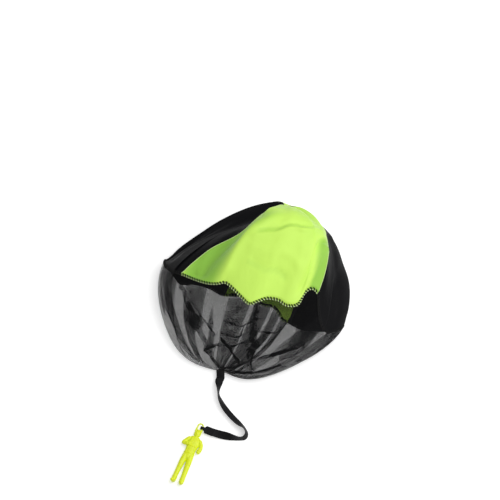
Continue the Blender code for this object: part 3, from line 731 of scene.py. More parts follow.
def vector_maths(tree, operation, *values):
    """The result of a vector maths node, which is a number for a length or a dot product."""
    made = node(tree, "ShaderNodeVectorMath", dict(enumerate(values)), operation=operation)
    return made.outputs["Value" if operation in ("DOT_PRODUCT", "LENGTH") else "Vector"]


def noise(tree, place, scale, detail=2):
    """Soft noise from 0 to 1, its patches about one part in scale of a metre wide."""
    made = node(tree, "ShaderNodeTexNoise", {"Vector": place, "Scale": scale, "Detail": detail})
    return made.outputs[0]


def mixed(tree, factor, low, high, data_type="RGBA"):
    """Two colours or vectors mixed by a factor."""
    inputs = {"Factor": factor, "A": low, "B": high}
    return node(tree, "ShaderNodeMix", inputs, data_type=data_type).outputs["Result"]


def cut_place(tree):
    """Where a point is on the flat cut of its cloth, in metres."""
    return node(tree, "ShaderNodeUVMap", {}, uv_map="cut").outputs[0]


def object_place(tree):
    """Where a point is on the toy, in metres."""
    return node(tree, "ShaderNodeTexCoord", {}).outputs["Object"]


def varied(tree, shader, colour, place, scale, amount):
    """Base colour that drifts a little, darker and lighter, over patches of the surface."""
    low, high = ([channel * (1 + sign * amount) for channel in colour] for sign in (-1, 1))
    drifted = mixed(tree, noise(tree, place, scale, detail=3), (*low, 1), (*high, 1))
    tree.links.new(drifted, shader.inputs["Base Color"])
    return drifted


def bump(tree, shader, height, distance, strength, under=None):
    """A relief of the surface by a height from 0 to 1, over another relief if one is given."""
    inputs = {"Height": height, "Distance": distance, "Strength": strength}
    if under is not None:
        inputs["Normal"] = under
    made = node(tree, "ShaderNodeBump", inputs).outputs[0]
    tree.links.new(made, shader.inputs["Normal"])
    return made


def nylon(name, colour, specular, sheen, shade_colour=None):
    """Thin plain-woven nylon: fine threads both ways as sin x * sin y, small crinkles, and a
    soft sheen. Given a shade colour, it has painted shade: that colour mixed into its own by a
    mesh attribute."""
    look, tree, shader = finish_of(name, colour, roughness=0.5, specular=specular)
    shader.inputs["Sheen Weight"].default_value = sheen
    shader.inputs["Sheen Roughness"].default_value = 0.4
    place = cut_place(tree)
    drifted = varied(tree, shader, colour, place, scale=14, amount=0.07)
    if shade_colour:
        # Painted shade: the deeper green mixed into the base colour by a mesh attribute.
        shade_amount = node(tree, "ShaderNodeAttribute", {}, attribute_name="painted_shade").outputs["Fac"]
        shaded_base_colour = mixed(tree, shade_amount, drifted, (*shade_colour, 1))
        tree.links.new(shaded_base_colour, shader.inputs["Base Color"])
    split = node(tree, "ShaderNodeSeparateXYZ", {"Vector": place})
    threads = [
        maths(tree, "SINE", maths(tree, "MULTIPLY", split.outputs[axis], TURN / NYLON_WEAVE))
        for axis in (0, 1)
    ]
    weave = maths(tree, "MULTIPLY", *threads)
    crinkles = noise(tree, place, scale=55, detail=5)
    crinkled = bump(tree, shader, crinkles, distance=1.6 * MM, strength=0.5)
    bump(tree, shader, weave, distance=0.03 * MM, strength=0.5, under=crinkled)
    return look


def from_middle(tree, place, size):
    """Where a point is in its cell of a lattice, from the cell's middle."""
    wrapped = vector_maths(tree, "WRAP", place, size, (0, 0, 0))
    return vector_maths(tree, "SUBTRACT", wrapped, tuple(value / 2 for value in size))


def tulle():
    """Hexagonal tulle: of two lattices of cell middles the nearer one counts, and there is
    thread where the hexagon's distance from it is more than half a cell less half a thread."""
    colour = (0.008, 0.008, 0.009)
    look, tree, shader = finish_of("black tulle", colour, roughness=0.75, specular=0.1)
    size = (TULLE_CELL, TULLE_CELL * math.sqrt(3), 1)
    cut = cut_place(tree)
    stray = node(tree, "ShaderNodeTexNoise", {"Vector": cut, "Scale": 70, "Detail": 0})
    stray = vector_maths(tree, "SUBTRACT", stray.outputs["Color"], (0.5, 0.5, 0.5))
    stray = vector_maths(tree, "MULTIPLY", stray, (TULLE_STRAY, TULLE_STRAY, 0))
    place = vector_maths(tree, "ADD", cut, stray)
    moved = vector_maths(tree, "ADD", place, tuple(value / 2 for value in size))
    first, second = from_middle(tree, place, size), from_middle(tree, moved, size)
    flat = [vector_maths(tree, "MULTIPLY", spot, (1, 1, 0)) for spot in (first, second)]
    lengths = [vector_maths(tree, "LENGTH", spot) for spot in flat]
    nearer = mixed(tree, maths(tree, "LESS_THAN", lengths[1], lengths[0]), first, second, "VECTOR")
    reach = vector_maths(tree, "ABSOLUTE", nearer)
    slanted = vector_maths(tree, "DOT_PRODUCT", reach, (0.5, math.sqrt(3) / 2, 0))
    straight = vector_maths(tree, "DOT_PRODUCT", reach, (1, 0, 0))
    distance = maths(tree, "MAXIMUM", slanted, straight)
    mask = maths(tree, "GREATER_THAN", distance, (TULLE_CELL - TULLE_THREAD) / 2)
    tree.links.new(mask, shader.inputs["Alpha"])
    return look


def thread_look(name, colour):
    """Spun thread: fine fibres as bump, dull."""
    look, tree, shader = finish_of(name, colour, roughness=0.8, specular=0.25)
    place = object_place(tree)
    varied(tree, shader, colour, place, scale=400, amount=0.25)
    bump(tree, shader, noise(tree, place, scale=1800), distance=0.15 * MM, strength=0.6)
    return look


def overlock_look():
    """Overlock stitches along a strip: slanted threads, |sin| of the way along and across."""
    colour = (0.012, 0.012, 0.013)
    look, tree, shader = finish_of("overlock stitches", colour, roughness=0.75, specular=0.3)
    cut = cut_place(tree)
    split = node(tree, "ShaderNodeSeparateXYZ", {"Vector": cut})
    across = maths(tree, "MULTIPLY", split.outputs[1], 0.5)
    slanted = maths(tree, "ADD", split.outputs[0], across)
    wave = maths(tree, "SINE", maths(tree, "MULTIPLY", slanted, math.pi / SEAM_STITCH_PITCH))
    varied(tree, shader, colour, cut, scale=300, amount=0.3)
    bump(tree, shader, maths(tree, "ABSOLUTE", wave), distance=0.5 * MM, strength=0.9)
    return look


def packed_net():
    """Net bunched so tightly that it is opaque: fine streaks along the bundle."""
    colour = (0.02, 0.02, 0.022)
    look, tree, shader = finish_of("bunched black tulle", colour, roughness=0.8, specular=0.25)
    place = vector_maths(tree, "MULTIPLY", object_place(tree), (1, 0.15, 1))
    varied(tree, shader, colour, place, scale=900, amount=0.5)
    bump(tree, shader, noise(tree, place, scale=1400), distance=0.3 * MM, strength=0.8)
    return look


def ribbon_look():
    """Black grosgrain: its ribs are in the mesh, and the thread's fibres are a fine bump."""
    colour = (0.005, 0.005, 0.006)
    look, tree, shader = finish_of("black grosgrain", colour, roughness=0.55, specular=0.12)
    shader.inputs["Sheen Weight"].default_value = 0.03
    place = object_place(tree)
    varied(tree, shader, colour, place, scale=120, amount=0.3)
    bump(tree, shader, noise(tree, place, scale=1500), distance=0.08 * MM, strength=0.6)
    return look


def plastic():
    """Moulded polyethylene: softly glossy, a little light goes in, faint flow marks."""
    colour = (0.78, 0.88, 0.012)
    look, tree, shader = finish_of("yellow plastic", colour, roughness=0.38, specular=0.5)
    shader.inputs["Subsurface Weight"].default_value = 0.15
    shader.inputs["Subsurface Radius"].default_value = (1, 0.8, 0.1)
    shader.inputs["Subsurface Scale"].default_value = 1.5 * MM
    place = object_place(tree)
    varied(tree, shader, colour, place, scale=60, amount=0.05)
    bump(tree, shader, noise(tree, place, scale=500, detail=3), distance=0.12 * MM, strength=0.4)
    return look


green_nylon = nylon("green nylon", GREEN, specular=0.3, sheen=0.1, shade_colour=SHADE_GREEN)
black_nylon = nylon("black nylon", BLACK, specular=0.07, sheen=0.01)
black_tulle = tulle()
packed_tulle = packed_net()
overlock = overlock_look()
black_thread = thread_look("black thread", (0.008, 0.008, 0.008))
# A paler green than the cloth: a painted highlight on the rolled rim edge and the seam ridges.
highlit_green_edge = thread_look("green cloth edge with painted highlight", (0.74, 0.93, 0.42))
grosgrain = ribbon_look()
yellow_plastic = plastic()


# Canopy and net as one cloth


def round_table(table, turn):
    """The columns of a table at these turns: cubics through its rows, closed round a turn, and
    level at each row with the line between its neighbours."""
    table = np.array(table, float)
    knots = table[:, 0] * DEG
    knots = np.r_[knots[-2:] - TURN, knots, knots[:3] + TURN]
    values = np.concatenate([table[-2:, 1:], table[:, 1:], table[:3, 1:]])
    slopes = (values[2:] - values[:-2]) / (knots[2:] - knots[:-2])[:, None]
    turn = np.mod(turn, TURN)
    index = np.searchsorted(knots, turn, side="right") - 1
    width = (knots[index + 1] - knots[index])[..., None]
    t = (turn - knots[index])[..., None] / width
    start, end = values[index], values[index + 1]
    leave, arrive = slopes[index - 1] * width, slopes[index] * width
    curve = (
        start
        + t * leave
        + t**2 * (3 * (end - start) - 2 * leave - arrive)
        + t**3 * (2 * (start - end) + leave + arrive)
    )
    return np.moveaxis(curve, -1, 0)


def canopy_point(share, turn):
    """The canopy's middle surface. Each meridian is a superellipse from the apex to the rim,
    with a swell upward and one behind the apex, and is kept above the table."""
    share, turn = np.broadcast_arrays(share, turn)
    rim_across, rim_along, rim_up, square, rise, back = round_table(RIM_SHARES, turn)
    power = 2 / square
    bend = share * math.pi / 2
    spread = np.sin(bend) ** power
    reach = 1 - np.cos(bend) ** power
    swell = np.sin(math.pi * share)
    across = lerp(APEX_SIDE, rim_across * MOUTH_HALF_WIDTH, spread)
    along = lerp(APEX_REACH, rim_along * MOUTH_HALF_WIDTH, reach)
    height = lerp(APEX_HEIGHT, rim_up * MOUTH_HALF_WIDTH, spread)
    height = height + rise * MOUTH_HALF_WIDTH * swell
    along = along + back * MOUTH_HALF_WIDTH * SWELL_BACK_SHARE * swell * (1 - share)
    lowest = lerp(CLOTH_WALL / 2, OVERLOCK_RADIUS, ramp(share, *RIM_THICKENS))
    return to_world(across, along, np.maximum(height, lowest))


def net_start(turn):
    """Where the net begins: past the canopy's edge by the width of the overlocked rim."""
    edge = canopy_point(1.0, turn)
    way = unit(canopy_point(1.0, turn + NEAR) - canopy_point(1.0, turn - NEAR))
    onward = edge - canopy_point(1 - NEAR, turn)
    onward = unit(onward - np.sum(onward * way, axis=-1, keepdims=True) * way)
    start = edge + onward * 2 * OVERLOCK_RADIUS
    start[..., 2] = np.maximum(start[..., 2], OVERLOCK_RADIUS)
    return start


def net_point(share, turn):
    """The net from the rim to the neck: each thread runs on a quarter of a superellipse, bulges
    a little past the gather, and ends in the neck, a tube of the neck's radius."""
    share, turn = np.broadcast_arrays(share, turn)
    axis = to_world(0, 1, 0)
    bend = share * math.pi / 2
    to_right = smooth_step(0.5 + 0.5 * np.cos(turn))
    square = lerp(NET_LEFT_SQUARE_SHARE, NET_RIGHT_SQUARE_SHARE, to_right)
    square = lerp(square, NET_TOP_SQUARE_SHARE, np.maximum(np.sin(turn), 0) ** 2)
    spread = np.maximum(np.cos(bend), TINY) ** (2 / square)
    reach = np.sin(bend) ** (2 / square)
    level = net_start(turn) - GATHER
    along = level @ axis
    side = level - along[..., None] * axis
    side[..., 2] *= spread ** (NET_FALL_SHARE - 1)
    lobe = NET_LOBE * np.abs(np.cos(turn)) * np.sin(math.pi * share**2) ** 2
    point = GATHER + side * spread[..., None] + (along * (1 - reach) - lobe)[..., None] * axis
    neck = np.stack([np.cos(turn), 0 * turn, np.sin(turn)], axis=-1) * NECK_RADIUS
    point = point + neck * (np.sin(bend) ** NECK_BLEND_SHARE)[..., None]
    lowest = lerp(OVERLOCK_RADIUS, CLOTH_WALL / 2, ramp(share, *RIM_THINS))
    point[..., 2] = np.maximum(point[..., 2], lowest)
    return point


def cloth_point(place, turn):
    """The whole cloth: place 0 is the apex, 1 the rim and 2 the neck."""
    canopy_points = canopy_point(np.clip(place, FIRST_PLACE, 1), turn)
    net_points = net_point(np.clip(place - 1, 0, 1), turn)
    return np.where(place[..., None] <= 1, canopy_points, net_points)


def turn_from(turn, middle):
    """The turn from a middle, the shorter way round."""
    return np.angle(np.exp(1j * (turn - middle)))


def fold_wave(away):
    """A fold's wave across it, x exp(-x * x), at a scale that makes its peaks one."""
    return math.sqrt(2 * math.e) * away * np.exp(-(away**2))


def folded(place, turn):
    """How far each point of the cloth is moved round and outward. A pleat moves the cloth on
    before its middle and back after it, by a fold's wave, so that a band of it lies in three
    layers, and lifts the three apart by the same wave. The crown is turned round the apex by a
    bell, exp(-d * d). Fine waves round the net gather it towards the neck."""
    shift, lift = np.zeros(place.shape), np.zeros(place.shape)
    for centre, drift, half, depth, apart, start, end in PLEATS:
        grown = ramp(place, start, PLEAT_GROWS_OVER) * (1 - ramp(place, end, PLEAT_FADES_OVER))
        middle = (centre + drift * (place - 1)) * DEG
        wave = grown * fold_wave(turn_from(turn, middle) / (half * DEG))
        shift -= depth * DEG * wave
        lift += apart * MM * wave
    crown = np.exp(-(((place - CROWN_PLACE) / CROWN_SPREAD) ** 2))
    shift -= CROWN_TURN * crown * (0.5 + 0.5 * np.cos(turn - CROWN_MIDDLE))
    grown = ramp(place, FINE_START, 2 - FINE_START)
    grown = grown * (1 - FINE_SIDES_SHARE * np.cos(turn) ** 4)
    phase = FINE_COUNT * turn + sum(
        size * np.sin(count * turn + lag) for count, size, lag in FINE_WAVES
    )
    shift += grown * FINE_DEPTH_SHARE / FINE_COUNT * np.sin(phase)
    lift += FINE_LIFT * grown * np.cos(phase)
    return shift, lift


def by_line(spots, start, end, half):
    """Of spots near a line: how far off it they are in half widths, which way that is, and a
    window of one beside the line that fades past its ends."""
    length = np.linalg.norm(end - start)
    way = (end - start) / length
    normal = np.array((-way[1], way[0]))
    along = (spots - start) @ way / half
    within = smooth_step(along / 2 + 1) * smooth_step((length / half - along) / 2 + 1)
    return (spots - start) @ normal / half, normal, within


def net_round(place):
    """The net's radius at a place, as a length that a turn counts by: from the mouth's half
    width to the neck's radius by a power of a cosine."""
    share = np.cos((place - 1) * math.pi / 2) ** NET_ROUND_POWER
    return lerp(NECK_RADIUS, MOUTH_HALF_WIDTH, share)


def creased(place, turn):
    """How far each point of the net is moved down, round and outward by its creases, which are
    a fold's wave across a line of any direction on the net."""
    down, shift, lift = (np.zeros(place.shape) for _ in range(3))
    inside = np.clip(place, 1, 2 - TINY)
    radius = net_round(inside)
    grown = ramp(place, *CREASES_GROW) * (1 - ramp(place, *CREASES_FADE))
    for start_place, start_turn, end_place, end_turn, half, depth, apart in NET_CREASES:
        middle = (start_turn + end_turn) / 2 * DEG
        spots = np.stack(
            [(inside - 1) * NET_LENGTH, turn_from(turn, middle) * radius], axis=-1
        )
        start, end = (
            np.array(((p - 1) * NET_LENGTH, (t * DEG - middle) * net_round(p)))
            for p, t in ((start_place, start_turn), (end_place, end_turn))
        )
        off, normal, within = by_line(spots, start, end, half * MM)
        wave = grown * within * fold_wave(off)
        down -= depth * MM * wave * normal[0] / NET_LENGTH
        shift -= depth * MM * wave * normal[1] / radius
        lift += apart * MM * wave
    return down, shift, lift


def by_disc_lines(table, place, turn):
    """For each line of a table on the canopy's flat disc, how far off it the points are in half
    widths, the window along it, and its value."""
    spots = polar(place * FLAT_RADIUS, turn)
    for start_place, start_turn, end_place, end_turn, half, value in table:
        start = polar(start_place * FLAT_RADIUS, start_turn * DEG)
        end = polar(end_place * FLAT_RADIUS, end_turn * DEG)
        off, _, within = by_line(spots, start, end, half * MM)
        yield off, within, value


def relief(place, turn):
    """How far the canopy's cloth stands out by its ridges and hollows: exp(-d * d) across
    each line."""
    lift = np.zeros(place.shape)
    for off, within, height in by_disc_lines(CANOPY_RELIEF, place, turn):
        lift += height * MM * within * np.exp(-(off**2))
    return lift * (1 - ramp(place, *RELIEF_FADES))


def painted_shade_at(place, turn):
    """How much painted shade the green cloth has, 0 to 1: all of it within a line's
    middle, by a smooth step to none at its edge."""
    shade_amount = np.zeros(place.shape)
    for off, within, amount in by_disc_lines(PAINTED_SHADE_LINES, place, turn):
        shade_amount = np.maximum(shade_amount, amount * within * smooth_step(PAINTED_SHADE_EDGE - np.abs(off)))
    return shade_amount


def whole_cloth():
    """The cloth as one grid, rows from the apex to the neck by columns round it: its points,
    and each point's place, turn and painted shade. The pleats and the canopy's relief come first,
    and the net's creases run across them. The layers stand apart along the plain form's
    normal, and those that would sink into the table are stacked on it in their order."""
    places = np.r_[
        np.linspace(FIRST_PLACE, 1, CANOPY_ROWS + 1), 1 + np.linspace(RIM_GAP, 1, NET_ROWS + 1)
    ]
    turns = FIRST_SEAM_TURN + np.arange(COLUMNS) * TURN / COLUMNS
    place, turn = np.meshgrid(places, turns, indexing="ij")
    # Painted shade of the top gore's green, from 0 to 1 at each point.
    painted_shade = painted_shade_at(place, turn)
    shift, lift = folded(place, turn)
    lift = lift + np.where(place <= 1, relief(place, turn), 0)
    turn = turn + shift
    down, shift, crease_lift = creased(place, turn)
    lift = lift + crease_lift
    place = np.where(place > 1, np.clip(place + down, 1 + RIM_GAP, 2), place)
    turn = turn + shift
    round_way = cloth_point(place, turn + NEAR) - cloth_point(place, turn - NEAR)
    below = cloth_point(np.minimum(place + NEAR_PLACE, 2), turn)
    normal = unit(np.cross(round_way, below - cloth_point(place - NEAR_PLACE, turn)))
    calm = 1 - ramp(place, *NECK_CALMS)
    points = cloth_point(place, turn) + normal * (lift * calm)[..., None] + PLACE
    from_rim = np.arange(len(points)) - CANOPY_ROWS - 0.5
    lowest = lerp(SKIN, OVERLOCK_RADIUS, np.exp(-((from_rim / RIM_ROWS) ** 2)))
    stacked = LAYER_SHARE * (LAYER_MOST - np.clip(lift, -LAYER_MOST, LAYER_MOST))
    points[..., 2] = np.maximum(points[..., 2], lowest[:, None] + stacked)
    return points, place, turn, painted_shade


def net_cut(place, turn):
    """The flat cut of the net: a ring with a gap, as wide at its two edges as the rim and the
    neck. A point's turn on it goes by the length round the lying net up to the point."""
    sector = (TURN * FLAT_RADIUS - NET_END_WIDTH) / NET_LENGTH
    radius = lerp(TURN * FLAT_RADIUS, NET_END_WIDTH, place - 1) / sector
    radius = np.concatenate([radius, radius[:, :1]], axis=1)
    turn = np.concatenate([turn, turn[:, :1] + TURN], axis=1)
    turns = np.linspace(0, 2 * TURN, 4 * COLUMNS)
    lengths = lengths_of(net_point(NET_CUT_PLACE, turns))
    return polar(radius, np.interp(turn, turns, lengths) / lengths[-1] * 2 * sector)


def gore_span(number):
    """The columns of one gore, from its first seam to its next."""
    return (np.arange(GORE_COLUMNS + 1) + number * GORE_COLUMNS) % COLUMNS


cloth, cloth_place, cloth_turn, cloth_painted_shade = whole_cloth()
canopy, net = np.split(cloth, [CANOPY_ROWS + 1])
rim = (canopy[-1] + net[0]) / 2

gore_cut = polar(
    cloth_place[: CANOPY_ROWS + 1, :1] * FLAT_RADIUS, np.arange(GORE_COLUMNS + 1) * TURN / COLUMNS
)
for number, name in enumerate(GORE_NAMES):
    green = name in GREEN_GORES
    gore = piece(
        surface(f"gore_{name}", canopy[:, gore_span(number)], gore_cut),
        green_nylon if green else black_nylon,
        "chute",
        "green_nylon" if green else "black_nylon",
        f"canopy_gore_{name}",
    )
    if green:
        # The top gore's painted shade goes on its mesh as an attribute; the other gores get none.
        painted_shade = cloth_painted_shade[: CANOPY_ROWS + 1, gore_span(number)] * (name == "top")
        layer = gore.data.attributes.new("painted_shade", "FLOAT", "POINT")
        layer.data.foreach_set("value", painted_shade.ravel())
    thicken(gore, SKIN)

cut = net_cut(cloth_place[CANOPY_ROWS + 1 :], cloth_turn[CANOPY_ROWS + 1 :])
skirt = piece(surface("net", net, cut, around=True), black_tulle, "chute", "tulle", "net_skirt")


# Overlocked rim and seams


def cloth_normals(grid):
    """Unit normals of a grid that closes round its columns, out of the canopy."""
    round_way = np.roll(grid, -1, axis=1) - np.roll(grid, 1, axis=1)
    return unit(np.cross(round_way, np.gradient(grid, axis=0)))


def inner_strip(grid, normals, column, reach, places, inset):
    """A strip of a grid's own curve, set in from it: for each row the column of its middle, its
    reach in columns to each side, and as many places across, straight between columns."""
    spot = column + reach[:, None] * np.linspace(-1, 1, places)
    low = np.floor(spot).astype(int)
    rows = np.arange(len(grid))[:, None]
    within = grid - normals * inset
    return lerp(
        within[rows, low % COLUMNS], within[rows, (low + 1) % COLUMNS], (spot - low)[..., None]
    )


def strip_cut(strip):
    """The cut of a strip: how far along it a point is, and how far across from its middle."""
    middle_place = strip.shape[1] // 2
    middle = strip[:, middle_place]
    along = np.broadcast_to(lengths_of(middle)[:, None], strip.shape[:2])
    across = np.linalg.norm(strip - middle[:, None], axis=-1)
    across = across * np.sign(np.arange(strip.shape[1]) - middle_place)
    return np.stack([along, across], axis=-1)


canopy_normals, net_normals = cloth_normals(canopy), cloth_normals(net)
rim_way = heading_of(rim, closed=True)
rim_above = unit(np.cross(rim_way, net[0] - canopy[-1]))
rim_out = np.cross(rim_above, rim_way)


def rim_edge(number):
    """The rolled edge of one gore, a cord inside the winding, from seam to seam."""
    span = gore_span(number)
    name = f"rim_edge_{GORE_NAMES[number]}"
    return swept(name, rim[span], rim_out[span], rim_above[span], circle(8, RIM_EDGE_RADIUS))


def rim_thread(strand):
    """One strand of the overlock: a helix round the rim's edge, a turn every stitch, set off
    from the strand before it, and longer across the rim than it is high."""
    frame_of_rim = np.concatenate([rim, rim_out, rim_above], axis=1)
    frame_of_rim = np.concatenate([frame_of_rim, frame_of_rim[:1]])
    lengths = lengths_of(frame_of_rim[:, :3])
    stitches = round(lengths[-1] / STITCH_PITCH)
    places = np.linspace(0, lengths[-1], stitches * STITCH_POINTS, endpoint=False)
    table = resampled(frame_of_rim, lengths, places)
    turn = (np.arange(len(places)) / STITCH_POINTS + strand * STRAND_APART / STITCH_PITCH) * TURN
    turn = turn[:, None]
    middle, out, above = table[:, :3], table[:, 3:6], table[:, 6:]
    outward = out * np.cos(turn) + above * np.sin(turn)
    path = (
        middle
        + out * (STITCH_REACH * np.cos(turn) - STITCH_SET_BACK)
        + above * STITCH_RISE * np.sin(turn)
    )
    path[:, 2] = np.maximum(path[:, 2], THREAD_RADIUS)
    return thread(f"rim_thread_{strand + 1}", path, outward, THREAD_RADIUS, closed=True)


def seam_allowance(number):
    """The overlocked allowance inside a gore seam: a strip of the cloth's own curve, set in."""
    column = number * GORE_COLUMNS
    step = np.linalg.norm(canopy[:, column + 1] - canopy[:, column - 1], axis=-1) / 2
    reach = np.minimum(SEAM_WIDTH / 2 / step, SEAM_MOST_COLUMNS)
    strip = inner_strip(canopy, canopy_normals, column, reach, SEAM_PLACES, SEAM_INSET)
    return surface(f"seam_allowance_{number + 1}", strip, strip_cut(strip), turned=True)


def seam_ridge(number):
    """The stitched fold of a gore seam, which shows outside as a fine pale line: its paler green
    is a painted highlight.
    """
    column = number * GORE_COLUMNS
    path = canopy[:, column] + canopy_normals[:, column] * SKIN / 2
    return thread(f"seam_ridge_{number + 1}", path, canopy_normals[:, column], SEAM_RIDGE_RADIUS)


for number, name in enumerate(GORE_NAMES):
    # The green gores' rim edges and all seam ridges get the paler green of a painted highlight.
    look = highlit_green_edge if name in GREEN_GORES else black_thread
    piece(rim_edge(number), look, "chute", "thread", "rim_overlock")
    seam = f"gore_seam_{number + 1}"
    thicken(piece(seam_allowance(number), overlock, "chute", "thread", seam), SEAM_WALL)
    piece(seam_ridge(number), highlit_green_edge, "chute", "thread", seam)
for strand in range(STRAND_COUNT):
    piece(rim_thread(strand), black_thread, "chute", "thread", "rim_overlock")


def net_seam_strip(name, rim_reach, neck_reach, inset):
    """A strip of the net's own curve along the seam's route, so many columns to each side at
    the rim and at the neck, set in under the net. Its cut is moved on by its inset, so that
    the meshes of two layers don't line up."""
    share = np.linspace(0, 1, NET_ROWS + 1)
    route = smooth_line(np.array(NET_SEAM_ROUTE), NET_SEAM_STEP)
    middle = np.interp(share + 1, *route.T) * DEG - FIRST_SEAM_TURN
    column = middle[:, None] / TURN * COLUMNS
    reach = lerp(rim_reach, neck_reach, share)
    strip = inner_strip(net, net_normals, column, reach, NET_SEAM_PLACES, inset)
    strip = strip[:-NET_SEAM_ROWS_LEFT_OUT]
    return surface(name, strip, strip_cut(strip) + inset * NET_SEAM_CUT_SHARE, turned=True)


for name, look, rim_reach, neck_reach, inset in (
    ("net_seam_lap_1", black_tulle, 4, 10, 0.5 * MM),
    ("net_seam_lap_2", black_tulle, 3.7, 9.5, 0.9 * MM),
    ("net_seam_stitches", overlock, 1.1, 3, 1.3 * MM),
):
    strip = net_seam_strip(name, rim_reach, neck_reach, inset)
    piece(strip, look, "chute", "thread", "net_side_seam")


# Gather: the neck of the net, its thread and the knot

NECK_START = GATHER + PLACE
SIDEWAYS, UPWARD = np.array((1.0, 0.0, 0.0)), np.array((0.0, 0.0, 1.0))


def on_neck(onward, across, up):
    """Points by their way along the neck from its start, and across and up from its middle."""
    return NECK_START + sum(
        way * np.asarray(length)[..., None]
        for way, length in ((NECK_WAY, onward), (SIDEWAYS, across), (UPWARD, up))
    )


def neck():
    """The bundle of gathered net: a tube with a wave of folds round it that twist along it,
    drawn in by a bell under the thread, and closed by a rough end."""
    turn = np.arange(NECK_COLUMNS) * TURN / NECK_COLUMNS
    share = np.linspace(0, 1, NECK_ROWS)[:, None]
    drawn = 1 - NECK_DRAWN_SHARE * np.exp(-(((share - 0.5) / NECK_DRAWN_SPREAD) ** 2))
    folds = np.cos(NECK_FOLD_COUNT * turn + NECK_TWIST * share)
    fold = 1 - NECK_FOLD_SHARE * (1 - folds) / 2
    end = lerp(NECK_TIP_SHARE, 1, np.sqrt(np.clip((1 - share) / NECK_END_SHARE, 0, 1)))
    radius = NECK_RADIUS * drawn * fold * end
    ragged = NECK_RAGGED * np.sin(NECK_RAGGED_COUNT * turn + 1) * ramp(share, *NECK_FRAYS)
    onward = lerp(-NECK_UNDER_NET, NECK_LENGTH + NECK_PAST_END, share) + ragged
    grid = on_neck(onward, radius * np.cos(turn), radius * np.sin(turn))
    return surface("net_neck", grid, around=True, ends=True)


def winding():
    """Thread wound round the neck and the ribbon's end: a helix on an oval whose radius waves
    a little from turn to turn."""
    turn = np.linspace(0, BINDING_TURNS * TURN, BINDING_TURNS * BINDING_POINTS + 1)
    wave = 1 + sum(size * np.sin(turn * rate) for size, rate in BINDING_WAVES)
    stray = BINDING_STRAY * np.sin(turn * BINDING_STRAY_RATE)
    path = on_neck(
        BINDING_START + turn / TURN * BINDING_PITCH + stray,
        BINDING_ACROSS * wave * np.cos(turn),
        BINDING_LIFT + BINDING_UP * wave * np.sin(turn),
    )
    outward = SIDEWAYS * np.cos(turn)[:, None] + UPWARD * np.sin(turn)[:, None]
    return thread("gather_thread", path, outward, BINDING_WIRE_RADIUS)


def knot():
    """The knot of the thread: a trefoil, (sin t + 2 sin 2t, cos t - 2 cos 2t, -sin 3t)."""
    t = np.arange(KNOT_POINTS) * TURN / KNOT_POINTS
    form = (np.sin(t) + 2 * np.sin(2 * t), np.cos(t) - 2 * np.cos(2 * t), -np.sin(3 * t))
    middle = on_neck(KNOT_PLACE, 0, BINDING_LIFT + BINDING_UP + KNOT_SIZE)
    path = middle + np.stack(form, axis=-1) * KNOT_SIZE
    way = heading_of(path, closed=True)
    outward = unit(np.cross(way, np.roll(way, KNOT_LAG, axis=0)))
    return thread("gather_knot", path, outward, BINDING_WIRE_RADIUS, closed=True)


def loose_end(number, reach):
    """A loose end of thread from the knot, falling over the side of the neck."""
    path = smooth_line(on_neck(KNOT_PLACE, 0, 0) + np.array(reach) * MM, LOOSE_END_STEP)
    outward = np.broadcast_to(UPWARD + END_LEAN * SIDEWAYS, path.shape)
    return thread(f"gather_end_{number}", path, outward, BINDING_WIRE_RADIUS)


piece(neck(), packed_tulle, "chute", "tulle", "net_skirt")
ends = [loose_end(number + 1, reach) for number, reach in enumerate(LOOSE_ENDS)]
for part in (winding(), knot(), *ends):
    piece(part, black_thread, "chute", "thread", "gather_binding")


# Ribbon


def figure_axes():
    """The ways down the figure from its ring and across it."""
    along = np.array((math.cos(FIGURE_TURN), math.sin(FIGURE_TURN), 0.0))
    across = np.array((-math.sin(FIGURE_TURN), math.cos(FIGURE_TURN), 0.0))
    return along, across


def loop_half_length():
    """Half the loop's inner length, so that the ring's leg can turn in it by SWING_TURN."""
    lean = RIBBON_LOOP_WIDTH / 2 * math.tan(SWING_TURN)
    return lean + RING_WIRE_RADIUS / math.cos(SWING_TURN) + 2 * FIT_GAP


def ribbon_line():
    """The ribbon's middle line, its side vectors, and how far each point is along the ribbon
    from the far end of the loop. The last stretch goes round the ring's leg and back under."""
    route = np.array(RIBBON_ON_NECK + RIBBON_ROUTE, float)
    route[:, :3] *= MM
    route[:, :2] += joint_place("ribbon_swing")[:2]
    centre = joint_place("figure_swing")
    along, across = figure_axes()
    layer = RING_WIRE_RADIUS + FIT_GAP + RIBBON_WALL / 2
    closed = (RIBBON_WALL + LIE_CLEARANCE) / 2
    inner = max(loop_half_length() + RIBBON_WALL / 2 - layer, 0)
    shut = inner + layer * LOOP_SHUT_SHARE
    tail_end = shut + RIBBON_LOOP_TAIL
    upper = [
        centre + across * tail_end + UPWARD * closed,
        centre + across * shut + UPWARD * closed,
        centre + across * inner + UPWARD * layer,
        centre - across * inner + UPWARD * layer,
    ]
    bends = [
        centre - across * (inner + layer * math.sin(turn)) + UPWARD * layer * math.cos(turn)
        for turn in np.linspace(0, math.pi, LOOP_BEND_POINTS + 2)[1:-1]
    ]
    lower = [point + UPWARD * 2 * (centre[2] - point[2]) for point in upper[::-1]]
    step = RIB_PITCH / RIB_STEPS
    main = smooth_line(np.concatenate([route, [[*upper[0], 0]]]), step)
    heading = heading_of(main[:, :3])
    flat_side = unit(np.stack([heading[:, 1], -heading[:, 0], 0 * heading[:, 0]], axis=-1))
    tilt = main[:, 3:] * DEG
    side = np.cos(tilt) * flat_side + np.sin(tilt) * UPWARD
    loop = smooth_line(np.array([*upper, *bends, *lower]), step)[1:]
    line = np.concatenate([main[:, :3], loop])
    sides = unit(np.concatenate([side, np.broadcast_to(-along, loop.shape)]))
    lengths = lengths_of(line)
    far_end = lengths[np.argmin(line[len(main) :] @ across) + len(main)]
    return line, sides, lengths, np.abs(lengths - far_end)


